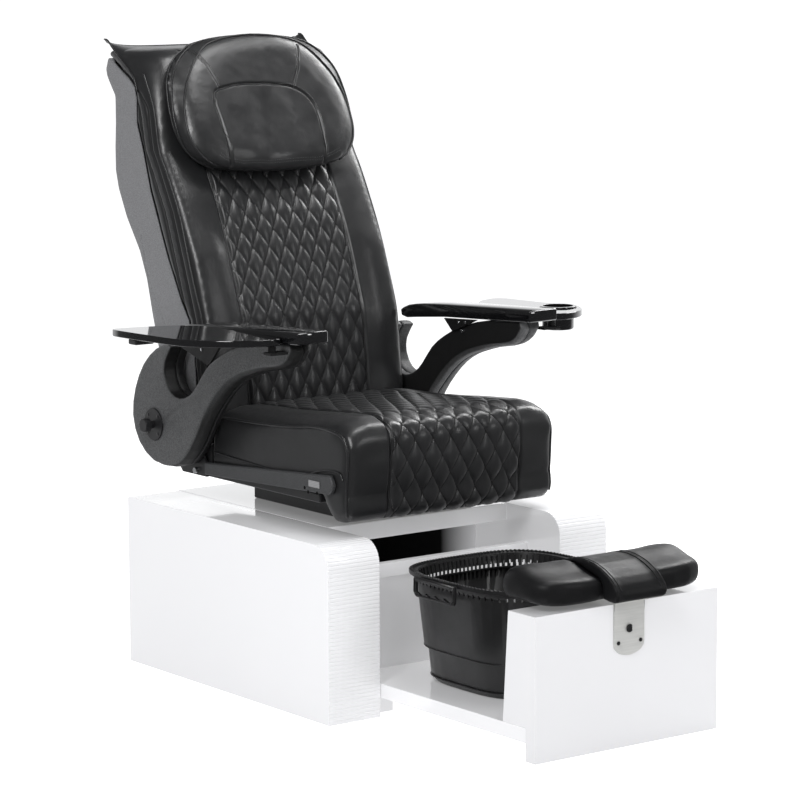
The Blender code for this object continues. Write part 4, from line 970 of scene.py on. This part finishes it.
PILLOW_FOOT = place(0.0, 0.690, 1.105)
PILLOW_HEAD = place(0.0, 0.820, 1.400)
PAD_OUTLINE = [(-0.137, -0.149), (-0.145, -0.036), (-0.149, 0.022), (-0.128, 0.044), (-0.044, 0.054),
               (0.071, 0.041), (0.119, -0.007), (0.124, -0.089), (0.118, -0.148)]
PILLOW_SEAMS = [[(-0.174, 0.158), (-0.146, 0.104), (-0.128, 0.046)],
                [(0.119, 0.145), (0.099, 0.086), (0.073, 0.041)]]
PILLOW_HEM = [(-0.175, -0.120), (-0.137, -0.147), (-0.060, -0.152), (0.060, -0.152), (0.118, -0.149),
              (0.175, -0.126)]
PILLOW_BACK_FOOT = place(0.0, 0.757, 1.115)
PILLOW_BACK_HEAD = place(0.0, 0.846, 1.400)
# The right half of the pillow's rear and front outlines, from the crown to the foot
PILLOW_REAR_EDGE = [(0.0, 0.160), (0.140, 0.152), (0.184, 0.140), (0.222, 0.112), (0.243, 0.070),
                    (0.249, 0.010), (0.244, -0.040), (0.230, -0.085), (0.203, -0.125), (0.158, -0.147)]
PILLOW_FRONT_EDGE = [(0.0, 0.174), (0.100, 0.153), (0.140, 0.120), (0.172, 0.076), (0.195, 0.034),
                     (0.210, -0.004), (0.218, -0.042), (0.217, -0.075), (0.204, -0.104), (0.172, -0.134)]


def pillow_rim(depth):
    """The pillow's outline at a share of its thickness, from its rear to its front."""
    foot = PILLOW_BACK_FOOT.lerp(PILLOW_FOOT, depth)
    head = PILLOW_BACK_HEAD.lerp(PILLOW_HEAD, depth)
    up = (head - foot).normalized()
    half = [(a + (c - a) * depth, b + (d - b) * depth)
            for (a, b), (c, d) in zip(PILLOW_REAR_EDGE, PILLOW_FRONT_EDGE)]
    outline = [(-x, h) for x, h in half[::-1]] + half[1:]
    return curve_through([(head + foot) / 2 + Vector((x, 0.0, 0.0)) + up * h for x, h in outline], 5)


def make_pillow():
    cover = remould("headrest_pillow", "leather", PILLOW_VOXEL, 6, "headrest_pillow.cover")
    up = (PILLOW_HEAD - PILLOW_FOOT).normalized()
    middle = (PILLOW_HEAD + PILLOW_FOOT) / 2
    outward = Vector((0.0, -up.z, up.y))
    points, normal = shape_of(cover)
    held = ramp(normal @ -np.array(outward), 0.3, 0.7)
    inflate(cover, 0.007, held, 2.5)
    subdivide(cover, 2)
    points, normal = shape_of(cover)
    flat = np.stack([points[:, 0], (points - np.array(middle)) @ np.array(up)], axis=1)
    facing = ramp(normal @ np.array(outward), 0.25, 0.6)
    ends = softened(cover.data, ramp(np.abs(normal[:, 0]), 0.5, 0.9) * (1.0 - facing), 40)
    amount = 0.0030 + 0.0050 * ends
    pad_line = [tuple(p) for p in curve_through([(*p, 0.0) for p in PAD_OUTLINE], 6)]
    amount -= 0.0045 * groove(segment_distance(flat, [p[:2] for p in pad_line]), 0.0030) * facing
    for seam in PILLOW_SEAMS:
        amount -= 0.0036 * groove(segment_distance(flat, seam), 0.0028) * facing
    u, v = flat[:, 0], flat[:, 1]
    within = groove(u / 0.105, 1.0) * ramp(v, -0.16, -0.13) * (1.0 - ramp(v, 0.0, 0.05)) * facing
    folds = np.sin(60.0 * u + 9.0 * v * np.tanh(u / 0.05) + 1.2 * wander(points, 7.0, 31))
    amount += 0.0022 * folds * within
    rims = [pillow_rim(0.74), pillow_rim(0.12), pillow_rim(0.30)]
    amount += 0.0010 * wander(points, 12.0, 32) * facing + 0.0002 * wander(points, 60.0, 33) * facing
    push(cover, amount)

    surface = surface_of(cover)

    def on_front(pairs):
        return [middle + Vector((x, 0.0, 0.0)) + up * h + outward * 0.03 for x, h in pairs]

    piping("headrest_pad.seam", surface, on_front(PAD_OUTLINE), "headrest", 0.0009, 0.0)
    piping("headrest_front_edge.piping", surface, rims[0], "headrest", 0.0024, 0.0016, 1, rounds=2)
    for name, rim in zip(("rear", "gusset"), rims[1:]):
        piping("headrest_" + name + "_edge.piping", surface, rim, "headrest", 0.0024, 0.0016, 1, rounds=2)
    for name, seam in zip(("left", "right"), PILLOW_SEAMS):
        piping("headrest_" + name + "_seam.piping", surface, on_front(seam), "headrest", 0.0009, -0.0002)
    for name, row in (("0", 0.0), ("6", 0.006)):
        stitches("headrest_hem.stitch_" + name, surface, on_front(PILLOW_HEM), "headrest", offset=row)


# ---------------------------------------------------------------- footrest

def make_footrest():
    for node, voxel, rounds in (("footrest_pad", 0.0045, 34), ("footrest_saddle", 0.0030, 16)):
        cover = remould(node, "foam_skin", voxel, rounds, node + ".cover", 1)
        push(cover, np.full(len(cover.data.vertices), 0.0012))
        if node == "footrest_saddle":
            surface = surface_of(cover)
            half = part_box(node)[1].x
            crest = [(-0.418, 0.387), (-0.450, 0.389), (-0.480, 0.3855), (-0.5065, 0.3775), (-0.5295, 0.366),
                     (-0.548, 0.351), (-0.558, 0.338)]
            for name, side in (("left", -1.0), ("right", 1.0)):
                for row, inset in (("outer", 0.004), ("inner", 0.014)):
                    line = [place(side * (half - inset), y, z) for y, z in crest]
                    piping("footrest_saddle." + name + "_" + row + "_bead", surface, line, "footrest", 0.0018,
                           -0.0004, slot_name="foam_skin")


# ---------------------------------------------------------------- bucket

BUCKET_LOW, BUCKET_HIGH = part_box("bucket_tub")
BUCKET_HALF = ((BUCKET_HIGH - BUCKET_LOW) / 2).xy
# The middle of the bucket's mouth, at the height of its rim
BUCKET_AT = Vector(((BUCKET_HIGH.x + BUCKET_LOW.x) / 2, (BUCKET_HIGH.y + BUCKET_LOW.y) / 2, BUCKET_HIGH.z))
BUCKET_SQUARENESS = 3.5
BUCKET_CREASE = 38.0
BUCKET_RIBS = 96
BRAID_BEADS = 150


def oval_point(half_x, half_y, turn):
    """A point of the bucket's squared oval."""
    cos, sin = math.cos(turn), math.sin(turn)
    radius = (abs(cos) ** BUCKET_SQUARENESS + abs(sin) ** BUCKET_SQUARENESS) ** (-1.0 / BUCKET_SQUARENESS)
    return half_x * radius * cos, half_y * radius * sin


def round_bucket(count, inset, size, start=0.0):
    """Matrices that set a box of that size at even steps round the bucket, along its wall."""
    for k in range(count):
        turn = 2 * math.pi * (k + start) / count
        at = BUCKET_AT + Vector((*oval_point(BUCKET_HALF.x - inset, BUCKET_HALF.y - inset, turn), 0.0))
        ahead = Vector(oval_point(*BUCKET_HALF, turn + 0.01)) - Vector(oval_point(*BUCKET_HALF, turn - 0.01))
        spin = Matrix.Rotation(math.atan2(ahead.y, ahead.x), 4, "Z")
        yield Matrix.Translation(at) @ spin @ Matrix.Diagonal((*size, 1.0))


def cut_slots(pieces):
    """A row of narrow upright slots through the wall under the rim."""
    bm = bmesh.new()
    for matrix in round_bucket(84, 0.016, (0.0042, 0.040, 0.0085), 0.5):
        bmesh.ops.create_cube(bm, size=1.0, matrix=Matrix.Translation((0.0, 0.0, -0.0215)) @ matrix)
    combine(pieces, bm, "DIFFERENCE")
    for piece in pieces:
        piece.data.shade_smooth()
        piece.data.set_sharp_from_angle(angle=math.radians(BUCKET_CREASE))


def make_rim_braid():
    """Slanting beads on the crest of the rim."""
    bm = bmesh.new()
    for k in range(BRAID_BEADS):
        turn = 2 * math.pi * k / BRAID_BEADS
        x, y = oval_point(BUCKET_HALF.x - 0.004, BUCKET_HALF.y - 0.004, turn)
        ahead = Vector(oval_point(*BUCKET_HALF, turn + 0.01)) - Vector((x, y))
        spin = Matrix.Rotation(math.atan2(ahead.y, ahead.x) + 0.6, 4, "Z")
        at = Matrix.Translation(BUCKET_AT + Vector((x, y, -0.0006)))
        bmesh.ops.create_icosphere(bm, subdivisions=2, radius=1.0,
                                   matrix=at @ spin @ Matrix.Diagonal((0.0046, 0.0024, 0.0026, 1.0)))
    new_piece("bucket_rim.braid", bm, "bucket", "bucket_plastic")


def make_inner_ribs():
    """Upright ribs inside the rim, leaning in towards their feet."""
    bm = bmesh.new()
    up = Vector((0.0, 0.0, 1.0))
    for k in range(BUCKET_RIBS):
        turn = 2 * math.pi * (k + 0.5) / BUCKET_RIBS
        ends = [Vector((*oval_point(BUCKET_HALF.x - inset, BUCKET_HALF.y - inset, turn), -drop))
                for inset, drop in ((0.0255, 0.050), (0.0195, 0.006))]
        radial = Vector((ends[0].x, ends[0].y, 0.0)).normalized()
        across = radial.cross(up)
        foot, top = [[bm.verts.new(BUCKET_AT + end + radial * (out - 0.001) + across * side)
                      for out, side in ((0.0, 0.0014), (0.0, -0.0014), (0.003, -0.0014), (0.003, 0.0014))]
                     for end in ends]
        bridge(bm, foot, top)
        bm.faces.new(foot[::-1])
        bm.faces.new(top)
    bmesh.ops.recalc_face_normals(bm, faces=bm.faces)
    new_piece("bucket_inner.ribs", bm, "bucket", "bucket_plastic", smooth=False)


def make_bucket():
    shells = [new_piece(node + ".skin", node_bm(node), "bucket", "bucket_plastic", node, sharp=BUCKET_CREASE)
              for node in ("bucket_tub", "bucket_liner_ring")]
    make_rim_braid()
    cut_slots(shells)
    make_inner_ribs()
    for name, z, inset in (("step", 0.1485, 0.0285), ("foot", 0.0840, 0.0405)):
        turns = [2 * math.pi * k / 90 for k in range(90)]
        oval = [oval_point(BUCKET_HALF.x - inset, BUCKET_HALF.y - inset, turn) for turn in turns]
        ring = [Vector((BUCKET_AT.x + x, BUCKET_AT.y + y, z)) for x, y in oval]
        tube("bucket_tub." + name, ring, 0.0018, "bucket", "bucket_plastic", True)
    # Small white plates between the inner ribs, glowing faintly, stand in for the bright white seen through the
    # slots: painted light.
    bm = bmesh.new()
    for matrix in round_bucket(96, 0.0300, (0.0046, 0.0006, 0.0070)):
        bmesh.ops.create_cube(bm, size=1.0, matrix=Matrix.Translation((0.0, 0.0, -0.0250)) @ matrix)
    new_piece("bucket_inner.slot_light", bm, "bucket", "bucket_plastic", smooth=False, look="white_edge")
    for name, side in (("left", -1.0), ("right", 1.0)):
        node = "bucket_" + name + "_handle"
        dress(node, "bucket_plastic", 0.0012)
        low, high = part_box(node)
        x = low.x if side < 0 else high.x
        front, rear, foot, top = low.y + 0.003, high.y - 0.003, low.z + 0.003, high.z - 0.003
        cut = 0.008
        outline = [(front, top), (rear, top), (rear, foot + cut), (rear - cut, foot), (front + cut, foot),
                   (front, foot + cut)]
        tube(node + ".rim", [Vector((x, *p)) for p in outline], 0.0028, BODY_OF[node], "bucket_plastic", True)


# ---------------------------------------------------------------- arms, trays, base

ARM_CREASE = [(0.700, 0.540), (0.6821, 0.5627), (0.6500, 0.5840), (0.6192, 0.5996), (0.5600, 0.6230),
              (0.5049, 0.6397)]
SHELL_SEAM = [(0.880, 0.960), (0.8653, 0.8975), (0.8350, 0.8350), (0.7831, 0.7648), (0.765, 0.700)]
ARM_VOXEL, ARM_MELT = 0.0028, 3
HUB_SCREW_CIRCLE = 0.028
# A strut's screws, behind its middle and below its top
STRUT_SCREWS = [(-0.018, 0.010), (0.006, 0.012), (-0.006, 0.030)]


def score(shell, line, depth, width):
    """A shallow line, given as (y, z), drawn on the shell's side faces."""
    line = [place(0.0, *p).yz for p in line]
    points, normal = shape_of(shell)
    beside = ramp(np.abs(normal[:, 0]), 0.6, 0.9)
    push(shell, -depth * groove(segment_distance(points[:, 1:], line), width) * beside)


def make_arms():
    for name, side in (("left", -1.0), ("right", 1.0)):
        body = name + "_arm"
        for part in ("outer", "inner"):
            # Each shell takes its own look, lit and shaded differently on the two arms: painted light and shade.
            shell = remould(body + "_" + part + "_shell", "charcoal_plastic", ARM_VOXEL, ARM_MELT,
                            look=body + "_" + part)
            if part == "outer":
                score(shell, ARM_CREASE, 0.0018, 0.0050)
        dress(body + "_cap", "gloss_black", 0.0022, 4)
        dress(body + "_cap_strut", "black_steel", 0.0010, 2, look="arm_inner_black")
        dress(body + "_pivot_plate", "black_steel", 0.0008, 2)
        dress(body + "_pivot_pin", "black_steel", 0.0012)
        dress(name + "_tray_pivot", "black_steel", 0.0008, 2, look="arm_inner_black")
        dress(name + "_tray", "gloss_black", 0.0024, 4)
        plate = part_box(body + "_pivot_plate")
        centre = (plate[0] + plate[1]) / 2
        centre.x = (plate[0].x if side < 0 else plate[1].x) - side * 0.0004
        holes = [centre + HUB_SCREW_CIRCLE * Vector((0.0, math.cos(t), math.sin(t)))
                 for t in (math.radians(45.0 + 90.0 * k) for k in range(4))]
        studs(body + "_hub.screws", holes, (side, 0.0, 0.0), 0.0042, 0.0012, body, "black_steel")
        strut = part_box(body + "_cap_strut")
        middle = (strut[0].y + strut[1].y) / 2
        for face, direction, x in (("left", -1.0, strut[0].x), ("right", 1.0, strut[1].x)):
            heads = [Vector((x, middle + dy, strut[1].z - dz)) for dy, dz in STRUT_SCREWS]
            studs(body + "_cap_strut." + face + "_screws", heads, (direction, 0.0, 0.0), 0.0036, 0.0016, body,
                  "chrome")
    dress("left_tray_slider", "black_steel", 0.0010, 2)
    dress("right_cup_holder", "gloss_black", 0.0010, 2)


def make_back_shell():
    shell = remould("back_shell", "charcoal_plastic", 0.0035, 3, look="shell_grey")
    score(shell, SHELL_SEAM, 0.0016, 0.0034)


def make_drawer_front():
    """The hollow block and its fascia show as one lacquered front, without a joint between them. Its white is a
    shade darker than the deck's: painted shade.
    """
    front = new_piece("drawer_front.skin", node_bm("drawer_front_block"), "drawer", "white_gloss",
                      "drawer_front_block", "drawer_fascia", sharp=CREASE, look="white_front_shaded")
    low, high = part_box("drawer_fascia")
    high.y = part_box("drawer_front_block")[0].y + 0.002
    fascia = bmesh.new()
    add_block(fascia, low, high)
    combine([front], fascia, "UNION")
    round_edges(front, 0.0013, 3, CREASE)
    keep_result(front)


FINE_EDGES = {
    "base_left_block": 0.0008, "base_left_floor_rail": 0.0010, "base_deck": 0.0012, "base_back_panel": 0.0010,
    "base_bulkhead": 0.0008, "seat_slide_box": 0.0015, "drawer_tray": 0.0010, "drawer_back_panel": 0.0012,
    "drawer_left_caster_fork": 0.0006, "drawer_left_caster_wheel": 0.0012, "footrest_bracket": 0.0006,
    "bracket_left_screw": 0.0004, "bracket_latch_button": 0.0005, "footrest_hinge_leaf": 0.0005,
    "seat_frame": 0.0015, "seat_left_slide_rail": 0.0010, "seat_left_side_rail": 0.0020,
    "seat_left_pivot_bracket": 0.0008, "seat_rail_label": 0.0003, "seat_recline_bolt": 0.0006,
    "back_frame": 0.0004,
}


def make_hard_parts():
    """The remaining nodes keep their shape and get fine edges, left and right alike."""
    for node, width in FINE_EDGES.items():
        for twin in dict.fromkeys((node, node.replace("left", "right"))):
            dress(twin, SLOT_OF[twin], width, 2)


def make_bay_painted_shade():
    """Thin sheets over the bay's inner sides, white near the mouth and near black deeper in: painted shade."""
    side_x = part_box("base_right_block")[0].x
    low = Vector((side_x - 0.0012, place(0.0, 0.300, 0.0).y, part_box("base_left_floor_rail")[1].z + 0.0005))
    high = Vector((side_x - 0.0002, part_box("base_bulkhead")[0].y - 0.0005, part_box("base_deck")[0].z - 0.0005))
    for name, side in (("left", -1.0), ("right", 1.0)):
        bm = bmesh.new()
        add_block(bm, low, high)
        if side < 0:
            bmesh.ops.translate(bm, verts=bm.verts, vec=(-low.x - high.x, 0.0, 0.0))
        new_piece("base_" + name + "_bay.painted_shade", bm, "base", "white_gloss", smooth=False, look="bay_shade")


def make_rail_holes():
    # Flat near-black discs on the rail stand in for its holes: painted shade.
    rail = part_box("seat_left_side_rail")
    holes = [Vector((rail[0].x - 0.0002, place(0.0, y, z).y, z))
             for y, z in ((0.208, 0.4705), (0.195, 0.4630), (0.162, 0.4650))]
    studs("seat_left_side_rail.hole_shade", holes, (-1.0, 0.0, 0.0), 0.0036, 0.0004, "seat", "charcoal_plastic",
          "black_board", 1.0)


def make_latch_ring():
    low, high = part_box("bracket_latch_button")
    middle, radius = (low + high) / 2, (high.x - low.x) / 2
    ring = [Vector((middle.x + radius * math.cos(t), low.y, middle.z + radius * math.sin(t)))
            for t in (math.radians(40.0 + 10.0 * k) for k in range(30))]
    tube("bracket_latch.ring", ring, 0.0012, "drawer", "black_steel")


MATERIALS = make_materials()
make_camera()
make_studio()
make_hard_parts()
make_bay_painted_shade()
make_rail_holes()
make_latch_ring()
make_drawer_front()
make_back_shell()
make_arms()
make_bucket()
make_footrest()
make_hood()
make_seat()
make_seat_skirt()
make_back()
make_pillow()
